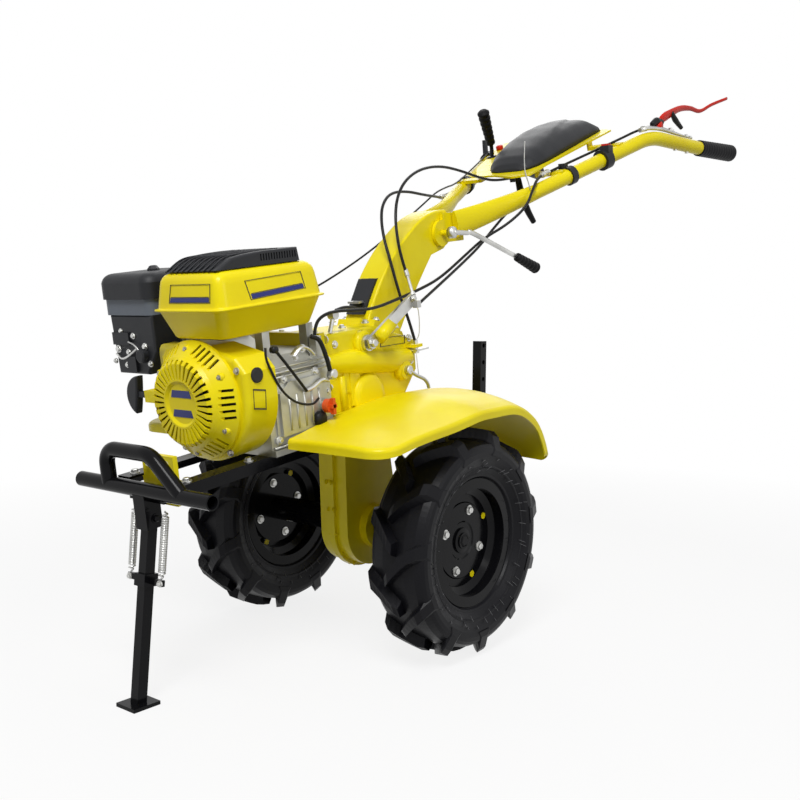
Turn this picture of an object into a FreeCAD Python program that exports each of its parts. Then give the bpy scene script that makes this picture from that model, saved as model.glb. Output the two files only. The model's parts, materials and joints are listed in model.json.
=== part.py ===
"""Walk-behind power weeder: a petrol engine ahead of a gear case on two driven wheels,
a sprung front stand, a curved column and a pair of tilting handlebars.

Chassis pieces are drawn in the chassis frame: its origin is the axle centre, +X points
forward, +Y to the left and +Z up.  The machine parks nose down on its front stand, so
the chassis frame is turned by nose_down about the axle when a piece is seated.
All sizes are millimetres and degrees.
"""
import FreeCAD, Part
import Sketcher
import math
import operator
import os
from FreeCAD import Placement, Rotation, Vector

SIZES = {
    # where the axle lies ahead of the middle of the footprint, and how the chassis leans
    "axle_ahead": 287, "nose_down": 7.8,
    # wheels
    "tyre_radius": 208, "tyre_width": 116, "tyre_wall": 9, "tread_width": 108,
    "wheel_disc_y": 240.5, "tyre_inset": 5,
    "rim_seat_radius": 101.5, "rim_lip_radius": 117, "rim_width": 73, "rim_wall": 3,
    "rim_well_radius": 88, "disc_wall": 5, "disc_hole_radius": 30, "bolt_circle_radius": 57,
    "bolt_hole_radius": 6.5, "wheel_bolts": 8,
    "hub_flange_radius": 72, "hub_flange_wall": 8, "hub_radius": 25, "axle_radius": 15,
    # gear case and gearbox; a rise is a height above the top of the rails
    "case_radius": 84, "case_half_width": 34, "case_rim": 7, "case_rim_half_width": 7,
    "case_shoulder": 66, "case_boss_radius": 42, "case_boss_out": 50,
    "gearbox_front": 144, "gearbox_rear": 140, "gearbox_half_width": 62,
    "gearbox_rise": 179, "gearbox_rear_rise": 131, "gearbox_floor_rise": 71,
    # engine frame
    "rail_top": 215, "rail_height": 20, "rail_width": 30, "rail_outer_y": 80, "rail_wall": 4,
    "rail_back": 20, "bumper_x": 495, "bumper_radius": 12.5, "bumper_bore": 10,
    "bumper_half_length": 164, "hoop_half_width": 86, "hoop_rise": 72, "hoop_bend": 46,
    # engine
    "crank_rise": 106, "crankcase_front": 296, "crankcase_left": 88, "crankcase_right": 70,
    "crankcase_rise": 161, "fan_front": 362, "fan_left": 114,
    "fan_right": 92, "fan_rise": 193, "recoil_front": 404, "recoil_radius": 99,
    "recoil_ring_radius": 71, "recoil_cap_radius": 33, "recoil_wall": 3, "recoil_slots": 36,
    "tank_front": 388, "tank_back": 150, "tank_left": 104, "tank_right": 62,
    "tank_seam_rise": 255, "tank_rise": 315, "tank_corner": 34, "tank_cover_height": 23,
    "cleaner_front": 352, "cleaner_back": 206, "cleaner_inner": 116, "cleaner_outer": 262,
    "cleaner_seam_rise": 269, "cleaner_floor_rise": 241, "cleaner_rise": 313,
    # front stand
    "stand_lean": 13, "stand_tube": 18, "stand_foot_length": 50, "stand_foot_width": 46,
    "stand_foot_wall": 6, "stand_pivot_drop": 34, "stand_pin": 4,
    # fenders: their height is the tyre's radius and a clearance
    "fender_front": 270, "fender_rise": 32, "fender_outer": 306, "fender_wall": 3,
    "fender_lip": 15, "fender_crown": 27, "fender_corner": 45, "fender_roll": 8,
    # column and handlebars
    "column_half_width": 31, "hub_x": 285, "hub_z": 545, "pivot_radius": 6,
    "bar_radius": 16.5, "grip_radius": 20, "grip_length": 150,
    # cables
    "cable_radius": 3, "wire_radius": 2, "core_radius": 1,
    # fits
    "gap": 0.3, "snug": 0.1, "swing_gap": 5,
}

doc = FreeCAD.newDocument("power_weeder")
sheet = doc.addObject("Spreadsheet::Sheet", "Sizes")
for row, (alias, number) in enumerate(SIZES.items(), start=1):
    sheet.set("A%d" % row, alias)
    sheet.set("B%d" % row, str(number))
    sheet.setAlias("B%d" % row, alias)
doc.recompute()


class Size:
    """A length or an angle: its number now, and the sheet expression that gives it."""

    def __init__(self, text, number):
        self.text = text
        self.number = float(number)

    def __add__(self, other):
        return combine("+", operator.add, self, other)

    def __radd__(self, other):
        return combine("+", operator.add, other, self)

    def __sub__(self, other):
        return combine("-", operator.sub, self, other)

    def __rsub__(self, other):
        return combine("-", operator.sub, other, self)

    def __mul__(self, other):
        return combine("*", operator.mul, self, other)

    def __rmul__(self, other):
        return combine("*", operator.mul, other, self)

    def __truediv__(self, other):
        return combine("/", operator.truediv, self, other)

    def __neg__(self):
        return combine("-", operator.sub, 0, self)

    def __float__(self):
        return self.number


def as_size(value):
    return value if isinstance(value, Size) else Size(repr(float(value)), value)


def combine(sign, work, first, second):
    first, second = as_size(first), as_size(second)
    text = "(%s %s %s)" % (first.text, sign, second.text)
    return Size(text, work(first.number, second.number))


def sine(angle):
    return Size("sin(%s)" % angle.text, math.sin(math.radians(angle.number)))


def cosine(angle):
    return Size("cos(%s)" % angle.text, math.cos(math.radians(angle.number)))


def larger(first, second):
    """The larger of two sizes, also in the sheet."""
    first, second = as_size(first), as_size(second)
    return Size("max(%s; %s)" % (first.text, second.text), max(first.number, second.number))


class Sheet:
    """Reads a size of the spreadsheet by its name."""

    def __getattr__(self, alias):
        return Size("Sizes." + alias, SIZES[alias])


S = Sheet()
NODES = []


# ---- placing ---------------------------------------------------------------------------

def chassis_point(x, z):
    """A chassis point seen from the part's own origin, as sizes."""
    along = S.axle_ahead + x * cosine(S.nose_down) + z * sine(S.nose_down)
    up = S.tyre_radius - x * sine(S.nose_down) + z * cosine(S.nose_down)
    return along, up


def bind_place(piece, along, across, up, angle):
    """Bind a piece's Placement: a turn about +Y and an offset, all from sizes."""
    piece.Placement = Placement(Vector(float(along), float(across), float(up)),
                                Rotation(Vector(0, 1, 0), max(float(angle), 0.001)))
    for axis, value in zip("xyz", (along, across, up)):
        piece.setExpression("Placement.Base." + axis, as_size(value).text)
    piece.setExpression("Placement.Rotation.Angle", as_size(angle).text)


def seat(piece, x=0, y=0, z=0, lean=None):
    """Seat a finished piece, drawn about its own origin, at a point of the chassis."""
    along, up = chassis_point(as_size(x), as_size(z))
    turn = S.nose_down if lean is None else S.nose_down - lean
    bind_place(piece, along, y, up, turn)
    NODES.append(piece)
    return piece


def seat_on_axle(piece, y=0):
    """Seat a turning piece, drawn about the axle, without the chassis lean."""
    bind_place(piece, S.axle_ahead, y, S.tyre_radius, as_size(0))
    NODES.append(piece)
    return piece


# ---- primitives and booleans -----------------------------------------------------------

def solid(kind, name, x=0, y=0, z=0, axis=None, angle=90, **sizes):
    """A Part primitive whose sizes and place are bound to the sheet."""
    item = doc.addObject("Part::" + kind, name)
    for prop, value in sizes.items():
        item.setExpression(prop, as_size(value).text)
    spot = Vector(float(as_size(x)), float(as_size(y)), float(as_size(z)))
    item.Placement = Placement(spot, Rotation(Vector(*axis), angle) if axis else Rotation())
    for letter, value in zip("xyz", (x, y, z)):
        if isinstance(value, Size):
            item.setExpression("Placement.Base." + letter, value.text)
    return item


def box(name, x, y, z):
    """A box between (low, high) pairs along each axis."""
    return solid("Box", name, x[0], y[0], z[0], Length=x[1] - as_size(x[0]),
                 Width=y[1] - as_size(y[0]), Height=z[1] - as_size(z[0]))


def rod(name, x, y, z, radius, length, along="y"):
    """A cylinder that starts at a point and runs along +X, +Y or +Z."""
    turn = {"x": (0, 1, 0), "y": (-1, 0, 0), "z": None}[along]
    return solid("Cylinder", name, x, y, z, axis=turn, Radius=radius, Height=length)


def fuse(name, *items):
    whole = doc.addObject("Part::MultiFuse", name)
    whole.Shapes = list(items)
    whole.Refine = True
    return whole


def cut(name, base, *tools):
    tool = tools[0] if len(tools) == 1 else fuse(name + "_tools", *tools)
    whole = doc.addObject("Part::Cut", name)
    whole.Base = base
    whole.Tool = tool
    whole.Refine = True
    return whole


# ---- part design -----------------------------------------------------------------------

PLANES = {"xy": "XY_Plane", "xz": "XZ_Plane", "yz": "YZ_Plane"}


def new_body(name):
    return doc.addObject("PartDesign::Body", name)


def new_sketch(body, name, plane, offset=0):
    """A sketch on one of the body's own origin planes, moved along the plane's normal."""
    sketch = body.newObject("Sketcher::SketchObject", name)
    feature = [item for item in body.Origin.OriginFeatures if item.Role == PLANES[plane]][0]
    sketch.AttachmentSupport = (feature, [""])
    sketch.MapMode = "FlatFace"
    sketch.setExpression("AttachmentOffset.Base.z", as_size(offset).text)
    return sketch


def pin_point(sketch, item, spot, point):
    """Hold one point of the sketch at its two sizes from the origin."""
    for kind, value in zip(("DistanceX", "DistanceY"), point):
        value = as_size(value)
        number = sketch.addConstraint(
            Sketcher.Constraint(kind, -1, 1, item, spot, value.number))
        if "Sizes." in value.text:
            sketch.setExpression("Constraints[%d]" % number, value.text)


def outline(sketch, *points):
    """A closed outline: (x, y) corners, and (x, y, "through") where an arc passes."""
    ends = []
    order = list(points) + [points[0]]
    start = order[0]
    middle = None
    for point in order[1:]:
        if len(point) == 3:
            middle = point[:2]
            continue
        a = Vector(float(start[0]), float(start[1]), 0)
        b = Vector(float(point[0]), float(point[1]), 0)
        if middle is None:
            item = sketch.addGeometry(Part.LineSegment(a, b))
            first, last = 1, 2
        else:
            m = Vector(float(middle[0]), float(middle[1]), 0)
            circle = Part.Circle(a, m, b)
            ccw = (m - a).cross(b - m).z > 0
            lead, tail = (a, b) if ccw else (b, a)
            centre = circle.Center
            angles = [math.atan2(p.y - centre.y, p.x - centre.x) for p in (lead, tail)]
            if angles[1] <= angles[0]:
                angles[1] += 2 * math.pi
            round_part = Part.ArcOfCircle(Part.Circle(centre, Vector(0, 0, 1), circle.Radius),
                                          angles[0], angles[1])
            item = sketch.addGeometry(round_part)
            first, last = (1, 2) if ccw else (2, 1)
            mark = sketch.addGeometry(Part.Point(m), True)
            pin_point(sketch, mark, 1, middle)
            sketch.addConstraint(Sketcher.Constraint("PointOnObject", mark, 1, item))
        pin_point(sketch, item, first, start)
        ends.append((item, first, last))
        start, middle = point, None
    for (item, _, last), (after, first, _) in zip(ends, ends[1:] + ends[:1]):
        sketch.addConstraint(Sketcher.Constraint("Coincident", item, last, after, first))
    return sketch


def ring(sketch, x, y, radius):
    """A circle in a sketch, held by its centre and radius."""
    item = sketch.addGeometry(Part.Circle(Vector(float(x), float(y), 0), Vector(0, 0, 1),
                                          float(radius)))
    pin_point(sketch, item, 3, (x, y))
    number = sketch.addConstraint(Sketcher.Constraint("Radius", item, float(radius)))
    if isinstance(radius, Size):
        sketch.setExpression("Constraints[%d]" % number, radius.text)
    return sketch


def extrude(body, kind, name, sketch, length, reverse=False):
    """A Pad or a Pocket of a sketch."""
    feature = body.newObject("PartDesign::" + kind, name)
    feature.Profile = sketch
    feature.setExpression("Length", as_size(length).text)
    feature.Reversed = reverse
    body.Tip = feature
    return feature


def revolve(body, name, sketch, axis, kind="Revolution"):
    feature = body.newObject("PartDesign::" + kind, name)
    feature.Profile = sketch
    feature.ReferenceAxis = (sketch, [axis])
    feature.Angle = 360
    body.Tip = feature
    return feature


def polar(body, name, feature, axis, count):
    """Repeat a feature round one of the body's own axes."""
    pattern = body.newObject("PartDesign::PolarPattern", name)
    pattern.Originals = [feature]
    line = [item for item in body.Origin.OriginFeatures if item.Role == axis][0]
    pattern.Axis = (line, [""])
    pattern.Angle = 360
    pattern.setExpression("Occurrences", as_size(count).text)
    body.Tip = pattern
    return pattern


def soften(body, name, radius, wanted):
    """Round the edges of a body's last feature that a test picks."""
    doc.recompute()
    base = body.Tip
    picked = ["Edge%d" % number for number, edge in enumerate(base.Shape.Edges, start=1)
              if wanted(edge)]
    feature = body.newObject("PartDesign::Fillet", name)
    feature.Base = (base, picked)
    feature.setExpression("Radius", as_size(radius).text)
    body.Tip = feature
    return feature


def lies_at(axis, place):
    """Picks edges that lie wholly at one place along an axis."""
    low, high = {"x": ("XMin", "XMax"), "y": ("YMin", "YMax"), "z": ("ZMin", "ZMax")}[axis]

    def test(edge):
        box = edge.BoundBox
        return (abs(getattr(box, low) - float(place)) < 0.01
                and abs(getattr(box, high) - float(place)) < 0.01)
    return test


def on_sides(half):
    """Picks edges on either side face of a piece that is drawn about the middle plane."""
    left, right = lies_at("y", half), lies_at("y", -half)
    return lambda edge: left(edge) or right(edge)


def loft(body, name, sketches):
    feature = body.newObject("PartDesign::AdditiveLoft", name)
    feature.Profile = sketches[0]
    feature.Sections = sketches[1:]
    body.Tip = feature
    return feature


def padded_outline(body, name, plane, low, high, *points):
    """An outline padded between two places along its plane's axis."""
    if plane == "xz":
        sketch = new_sketch(body, name + "_outline", plane, -as_size(high))
    else:
        sketch = new_sketch(body, name + "_outline", plane, low)
    outline(sketch, *points)
    return extrude(body, "Pad", name, sketch, as_size(high) - as_size(low))


def round_bar(name, plane, low, length, x, y, radius):
    """A body that is one straight round bar."""
    body = new_body(name)
    sketch = new_sketch(body, name + "_circle", plane, low)
    ring(sketch, x, y, radius)
    extrude(body, "Pad", name + "_bar", sketch, length)
    return body


# ---- free shapes -----------------------------------------------------------------------

def free_piece(name, shape):
    piece = doc.addObject("Part::Feature", name)
    piece.Shape = shape
    return piece


def bend_path(points, bend=None):
    """Straight runs joined by tangent arcs; each arc is as large as its runs allow."""
    spots = [Vector(*[float(value) for value in point]) for point in points]
    edges = []
    radii = []
    start = spots[0]
    for before, corner, after in zip(spots, spots[1:], spots[2:]):
        back = (before - corner).normalize()
        ahead = (after - corner).normalize()
        turn = math.pi - back.getAngle(ahead)
        room = 0.45 * min((before - corner).Length, (after - corner).Length)
        radius = room / math.tan(turn / 2)
        if bend is not None:
            radius = min(radius, bend)
        radii.append(radius)
        reach = radius * math.tan(turn / 2)
        arc_start = corner + back * reach
        arc_end = corner + ahead * reach
        middle_way = (back + ahead).normalize()
        centre = corner + middle_way * (radius / math.cos(turn / 2))
        arc_middle = centre - middle_way * radius
        edges.append(Part.LineSegment(start, arc_start).toShape())
        edges.append(Part.Arc(arc_start, arc_middle, arc_end).toShape())
        start = arc_end
    edges.append(Part.LineSegment(start, spots[-1]).toShape())
    return Part.Wire(edges), radii


def swept_tube(points, radius, bend=None):
    """A round bar along a bent path, and the radii of its bends."""
    path, radii = bend_path(points, bend)
    start = path.Edges[0].firstVertex().Point
    way = path.Edges[0].tangentAt(path.Edges[0].FirstParameter)
    section = Part.Wire([Part.Circle(start, way, float(radius)).toShape()])
    return path.makePipeShell([section], True, False), radii, path.Length


CRANK_Z = S.rail_top + S.crank_rise
CRANKCASE_TOP = S.rail_top + S.crankcase_rise
GEARBOX_TOP = S.rail_top + S.gearbox_rise
GEARBOX_REAR_TOP = S.rail_top + S.gearbox_rear_rise
GEARBOX_FLOOR = S.rail_top + S.gearbox_floor_rise
FENDER_TOP = larger(S.tyre_radius + S.fender_rise, S.rail_top + 25)
SNOUT_X, SNOUT_Z, SNOUT_RADIUS = -86, GEARBOX_FLOOR + 8, 17
TANK_LOW = CRANK_Z + S.recoil_radius + 1.5
TANK_SEAM = S.rail_top + S.tank_seam_rise
TANK_TOP = S.rail_top + S.tank_rise
CLEANER_FLOOR = S.rail_top + S.cleaner_floor_rise
CLEANER_SEAM = S.rail_top + S.cleaner_seam_rise
CLEANER_TOP = S.rail_top + S.cleaner_rise
OIL_X = S.gearbox_front + 28
OIL_Z = CRANK_Z - 43
BAR_Z = S.rail_top - S.rail_height / 2 - 1.5
ROOT_HALF = 0.7071


def rounded_rectangle(x_low, x_high, y_low, y_high, radius):
    """Outline points of a rectangle with round corners."""
    reach = radius * (1 - ROOT_HALF)
    return [
        (x_low + radius, y_low), (x_high - radius, y_low),
        (x_high - reach, y_low + reach, "through"), (x_high, y_low + radius),
        (x_high, y_high - radius), (x_high - reach, y_high - reach, "through"),
        (x_high - radius, y_high), (x_low + radius, y_high),
        (x_low + reach, y_high - reach, "through"), (x_low, y_high - radius),
        (x_low, y_low + radius), (x_low + reach, y_low + reach, "through")]


# ---- wheels ----------------------------------------------------------------------------

def make_tyre(name, side):
    """A carcass open to the rim: bead, bulging wall, shoulder and tread band."""
    body = new_body(name)
    sketch = new_sketch(body, name + "_section", "xy")
    bead = S.rim_width / 2 - S.rim_wall
    wide = S.tyre_width / 2
    shoulder = S.tyre_radius - 15
    tread = S.tread_width / 2
    seat_radius = S.rim_seat_radius
    flange = S.rim_lip_radius + 3
    middle = (flange + shoulder) / 2
    inside = shoulder - S.tyre_wall
    outline(sketch,
            (seat_radius, -bead), (flange, -bead),
            (middle, -wide, "through"), (shoulder, -tread - 4),
            (S.tyre_radius, -tread + 6), (S.tyre_radius, tread - 6), (shoulder, tread + 4),
            (middle, wide, "through"), (flange, bead), (seat_radius, bead),
            (seat_radius, bead - S.tyre_wall), (flange, bead - S.tyre_wall),
            (middle, wide - S.tyre_wall, "through"),
            (inside, tread - 6), (inside, -tread + 6),
            (middle, S.tyre_wall - wide, "through"), (flange, S.tyre_wall - bead),
            (seat_radius, S.tyre_wall - bead))
    revolve(body, name + "_turned", sketch, "V_Axis")
    seat_on_axle(body, side * (S.wheel_disc_y - S.tyre_inset))


def make_rim(name, side):
    """A pressed rim: lips, bead seats and well, a flat disc and its bolt holes."""
    body = new_body(name)
    lip = S.rim_width / 2
    wall = S.rim_wall
    seat_radius = S.rim_seat_radius - S.snug
    well = S.rim_well_radius
    disc = side * S.tyre_inset
    sketch = new_sketch(body, name + "_barrel", "xy")
    outline(sketch,
            (S.rim_lip_radius, -lip), (S.rim_lip_radius, wall - lip),
            (seat_radius, wall - lip), (seat_radius, -16), (well, -9), (well, 9),
            (seat_radius, 16), (seat_radius, lip - wall), (S.rim_lip_radius, lip - wall),
            (S.rim_lip_radius, lip), (seat_radius - wall, lip),
            (seat_radius - wall, 16), (well - wall, 9), (well - wall, -9),
            (seat_radius - wall, -16), (seat_radius - wall, -lip))
    revolve(body, name + "_barrel_turned", sketch, "V_Axis")
    plate = new_sketch(body, name + "_disc", "xy")
    low, high = disc - S.disc_wall / 2, disc + S.disc_wall / 2
    outline(plate, (S.disc_hole_radius, low), (well - 1, low), (well - 1, high),
            (S.disc_hole_radius, high))
    revolve(body, name + "_disc_turned", plate, "V_Axis")
    hole = new_sketch(body, name + "_hole", "xz", -(disc + S.disc_wall))
    ring(hole, S.bolt_circle_radius, 0, S.bolt_hole_radius)
    drill = extrude(body, "Pocket", name + "_hole_cut", hole, 2 * S.disc_wall, reverse=True)
    polar(body, name + "_holes", drill, "Y_Axis", S.wheel_bolts)
    seat_on_axle(body, side * (S.wheel_disc_y - S.tyre_inset))


def make_hub(name, side):
    """A tube keyed to the axle with the flange that the wheel disc bolts to."""
    body = new_body(name)
    inner = side * (S.case_boss_out + S.swing_gap)
    face = side * (S.wheel_disc_y - S.disc_wall / 2)
    back = face - side * S.hub_flange_wall
    bore = S.axle_radius + S.snug
    sketch = new_sketch(body, name + "_section", "xy")
    outline(sketch, (bore, inner), (S.hub_radius, inner), (S.hub_radius, back),
            (S.hub_flange_radius, back), (S.hub_flange_radius, face), (bore, face))
    revolve(body, name + "_turned", sketch, "V_Axis")
    return body


def make_axle():
    """The shaft through the gear case, with a flanged hub keyed on each end."""
    reach = S.wheel_disc_y + 10
    shaft = round_bar("axle_shaft", "xz", -reach, 2 * reach, 0, 0, S.axle_radius)
    seat_on_axle(fuse("wheel_axle", shaft, make_hub("hub_left", 1), make_hub("hub_right", -1)))


# ---- gear case, gearbox and frame ------------------------------------------------------

STAKE_X = -428
STAKE_Z = 108
STAKE_HALF = 11
HITCH_REACH = 350


def hitch_face(up):
    """A point of the upright face that the hitch bar bolts to, above or below the bar."""
    along = HITCH_REACH * cosine(S.nose_down) - up * sine(S.nose_down)
    rise = HITCH_REACH * sine(S.nose_down) + up * cosine(S.nose_down)
    return STAKE_X + along, STAKE_Z + rise


def case_outline(radius, shoulder):
    """The case seen from the side: a round foot about the axle under straight flanks."""
    return [(-shoulder, S.rail_top), (shoulder, S.rail_top), (radius, 0),
            (0, -radius, "through"), (-radius, 0)]


def make_gear_case():
    body = new_body("gear_case")
    core = S.case_radius - S.case_rim
    padded_outline(body, "case_core", "xz", -S.case_half_width, S.case_half_width,
                   *case_outline(core, S.case_shoulder - S.case_rim))
    padded_outline(body, "case_rim_band", "xz", -S.case_rim_half_width,
                   S.case_rim_half_width, *case_outline(S.case_radius, S.case_shoulder))
    boss = new_sketch(body, "case_boss_circle", "xz", -S.case_boss_out)
    ring(boss, 0, 0, S.case_boss_radius)
    extrude(body, "Pad", "case_boss", boss, 2 * S.case_boss_out)
    inner_y = S.rail_outer_y - S.rail_width
    top = S.rail_top
    padded_outline(body, "case_flange", "xz", -inner_y, inner_y,
                   (-S.case_shoulder, top - 24), (S.case_shoulder, top - 24),
                   (S.case_shoulder + 8, top), (-S.case_shoulder - 8, top))
    padded_outline(body, "hitch_pad", "xz", -20, 20, hitch_face(-20), hitch_face(20),
                   (-S.case_shoulder + 14, S.rail_top - 25), (-S.case_shoulder + 14, S.rail_top - 97))
    bore = new_sketch(body, "case_bore_circle", "xz", -S.case_boss_out)
    ring(bore, 0, 0, S.axle_radius + S.gap)
    extrude(body, "Pocket", "case_bore", bore, 2 * S.case_boss_out, reverse=True)
    seat(body)


def roof(x):
    """Height of the gearbox's sloping roof at a place behind its flat front part."""
    fall = (GEARBOX_TOP - 6 - GEARBOX_REAR_TOP) / (S.gearbox_rear - 30)
    return GEARBOX_TOP - 6 - fall * (-as_size(x) - 30)


def make_gearbox():
    """The casting over the gear case, flanged to the engine, with its shaft bosses."""
    body = new_body("gearbox")
    half = S.gearbox_half_width
    padded_outline(body, "gearbox_block", "xz", -half, half,
                   (S.gearbox_front, S.rail_top), (S.gearbox_front, GEARBOX_TOP),
                   (-30, GEARBOX_TOP - 6), (-S.gearbox_rear, GEARBOX_REAR_TOP),
                   (-S.gearbox_rear, GEARBOX_FLOOR), (-72, S.rail_top))
    soften(body, "gearbox_block_corners", 9, on_sides(half))
    padded_outline(body, "gearbox_flange", "xz", -half - 10, half + 10,
                   (S.gearbox_front - 14, S.rail_top), (S.gearbox_front, S.rail_top),
                   (S.gearbox_front, GEARBOX_TOP + 5),
                   (S.gearbox_front - 14, GEARBOX_TOP + 5))
    padded_outline(body, "gearbox_foot", "xz", -half, half, (-72, S.rail_top),
                   (S.gearbox_front, S.rail_top), (S.gearbox_front, S.rail_top + 12),
                   (-84, S.rail_top + 12))
    over = FENDER_TOP + S.fender_crown / 2
    for number, place in enumerate((-6, 60), start=1):
        padded_outline(body, "gearbox_rib_%d" % number, "xz", -half - 5, half + 5,
                       (place, over), (place + 7, over),
                       (place + 7, GEARBOX_TOP - 60), (place, GEARBOX_TOP - 60))
    shift = new_sketch(body, "gearbox_shift_boss_circle", "xz", -half - 12)
    ring(shift, 22, GEARBOX_TOP - 30, 19)
    extrude(body, "Pad", "gearbox_shift_boss", shift, 14)
    snout = new_sketch(body, "gearbox_snout_circle", "xz", -half - 16)
    ring(snout, SNOUT_X, SNOUT_Z, SNOUT_RADIUS)
    extrude(body, "Pad", "gearbox_snout", snout, 18)
    padded_outline(body, "gearbox_cable_stop", "xz", half - 3, half + 26,
                   (-S.gearbox_rear + 12, GEARBOX_REAR_TOP - 12),
                   (-S.gearbox_rear + 32, GEARBOX_REAR_TOP - 12),
                   (-S.gearbox_rear + 32, GEARBOX_REAR_TOP - 6),
                   (-S.gearbox_rear + 12, GEARBOX_REAR_TOP - 6))
    seat(body)


def make_rail(name, side):
    """An angle bar: a top flange that the engine bolts to and an outer web."""
    front = S.bumper_x - S.bumper_radius - S.snug
    outer = box(name + "_bar", (-S.rail_back, front),
                (0, S.rail_width), (S.rail_top - S.rail_height, S.rail_top))
    inner = box(name + "_inside", (-S.rail_back - 1, front + 1),
                (-1, S.rail_width - S.rail_wall) if side > 0
                else (S.rail_wall, S.rail_width + 1),
                (S.rail_top - S.rail_height - 1, S.rail_top - S.rail_wall))
    start = S.rail_outer_y - S.rail_width if side > 0 else -S.rail_outer_y
    seat(cut(name, outer, inner), y=start)


def make_front_frame():
    inner_y = S.rail_outer_y - S.rail_width
    face = S.bumper_x - 31
    cross = box("cross_plate", (face - 16, face - 8), (-inner_y, inner_y),
                (S.rail_top - S.rail_height, S.rail_top - S.rail_wall))
    plate = box("front_plate_blank", (face - 9, face), (-36, 42),
                (S.rail_top - 43, S.rail_top + 37))
    hole = rod("front_plate_hole", face - 17, 3, S.rail_top + 21, 5, 20, along="x")
    seat(cut("front_hitch_plate", fuse("front_plate_whole", cross, plate), hole))
    tube = rod("bumper_tube", S.bumper_x, -S.bumper_half_length, BAR_Z, S.bumper_radius,
               2 * S.bumper_half_length)
    bore = rod("bumper_tube_bore", S.bumper_x, -S.bumper_half_length - 1, BAR_Z,
               S.bumper_bore, 2 * S.bumper_half_length + 2)
    seat(cut("bumper_bar", tube, bore))
    x, low = S.bumper_x, BAR_Z
    top = BAR_Z + S.hoop_rise - S.bumper_radius
    hoop, _, _ = swept_tube([(x, -S.hoop_half_width, low), (x, -S.hoop_half_width, top),
                             (x, 30, top), (x, S.hoop_half_width + 10, low)],
                            S.bumper_radius, float(S.hoop_bend))
    saddle = Part.makeCylinder(float(S.bumper_radius + S.snug), 2 * float(S.bumper_half_length),
                               Vector(float(x), -float(S.bumper_half_length), float(BAR_Z)),
                               Vector(0, 1, 0))
    cope = Part.makeBox(60, 400, 40, Vector(float(x) - 30, -200, float(BAR_Z) - 40))
    seat(free_piece("lifting_hoop", hoop.cut(saddle).cut(cope)))


# ---- engine ----------------------------------------------------------------------------

CYLINDER_TILT = 25
DECK = 88


def cylinder_point(along, across):
    """A point of the tilted cylinder, in the engine's cross-section."""
    slope = math.radians(CYLINDER_TILT)
    return (-along * math.cos(slope) + across * math.sin(slope),
            CRANK_Z + along * math.sin(slope) + across * math.cos(slope))


def make_crankcase():
    """The engine's casting: block, foot, side cover with its flange, and what stands on it."""
    body = new_body("engine_crankcase")
    left, right, top = S.crankcase_left, -S.crankcase_right, CRANKCASE_TOP
    back, front = S.gearbox_front, S.crankcase_front
    padded_outline(body, "crankcase_block", "yz", back, front,
                   (right, S.rail_top), (left, S.rail_top), (left, top - 30),
                   (left - 24, top), (right + 24, top), (right, top - 30))
    padded_outline(body, "crankcase_foot", "yz", back + 4, front,
                   (right - 8, S.rail_top), (left + 8, S.rail_top), (left + 8, S.rail_top + 10),
                   (right - 8, S.rail_top + 10))
    padded_outline(body, "side_cover_flange", "xz", left - 1, left + 3,
                   (back + 10, S.rail_top + 22), (front - 14, S.rail_top + 22),
                   (front - 14, top - 52), (front - 40, top - 34), (back + 34, top - 34),
                   (back + 10, top - 58))
    padded_outline(body, "side_cover", "xz", left - 1, left + 8,
                   (back + 18, S.rail_top + 30), (front - 22, S.rail_top + 30),
                   (front - 22, top - 58), (front - 44, top - 42), (back + 38, top - 42),
                   (back + 18, top - 62))
    padded_outline(body, "cylinder_deck", "yz", back + 42, front - 12,
                   cylinder_point(40, -46), cylinder_point(DECK, -46),
                   cylinder_point(DECK, 46), cylinder_point(40, 46))
    padded_outline(body, "cable_post", "yz", back + 14, back + 28, (left - 14, top - 34),
                   (left + 2, top - 34), (left + 2, top + 22), (left - 14, top + 22))
    neck = new_sketch(body, "oil_filler_circle", "xz", -left - 14)
    ring(neck, OIL_X, OIL_Z, 13)
    extrude(body, "Pad", "oil_filler_neck", neck, 20)
    for number, start in enumerate((back + 14, front - 34), start=1):
        padded_outline(body, "tank_post_%d" % number, "yz", start, start + 16,
                       (left - 34, top - 2), (left - 16, top - 2), (left - 16, TANK_LOW),
                       (left - 34, TANK_LOW))
    seat(body)


def make_cylinder():
    """The tilted cylinder: its barrel, a stack of fins and the rocker cover."""
    body = new_body("engine_cylinder")
    back, front = S.gearbox_front + 34, S.crankcase_front - 4

    def slab(name, low, high, half, inset=0):
        padded_outline(body, name, "yz", back + inset, front - inset,
                       cylinder_point(low, -half), cylinder_point(high, -half),
                       cylinder_point(high, half), cylinder_point(low, half))
    slab("cylinder_barrel", DECK, 182, 40, inset=12)
    for number in range(8):
        slab("cylinder_fin_%d" % (number + 1), 94 + 11 * number, 98 + 11 * number, 54)
    padded_outline(body, "rocker_cover", "yz", back + 14, front - 14,
                   cylinder_point(181, -34), cylinder_point(200, -30),
                   cylinder_point(200, 30), cylinder_point(181, 34))
    seat(body)


def make_fan_housing():
    """The blower scroll: a pressed cover that is round below and square above."""
    body = new_body("fan_housing")
    left, right, low = S.fan_left, -S.fan_right, S.rail_top + 1
    top = S.rail_top + S.fan_rise
    side_low = S.fan_left * ROOT_HALF
    right_low = -S.fan_right * ROOT_HALF
    drop = CRANK_Z - low
    padded_outline(body, "fan_scroll", "yz", S.crankcase_front, S.fan_front,
                   (right, top - 16), (right, CRANK_Z),
                   (right_low, CRANK_Z - drop * ROOT_HALF, "through"), (0, low),
                   (side_low, CRANK_Z - drop * ROOT_HALF, "through"), (left, CRANK_Z),
                   (left, top - 40), (left - 22, top - 16),
                   (24, top), (right + 16, top))
    soften(body, "fan_scroll_edge", 9, lies_at("x", S.fan_front))
    seat(body)


LOUVRES = (-22, -11, 0, 11, 22)


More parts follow.
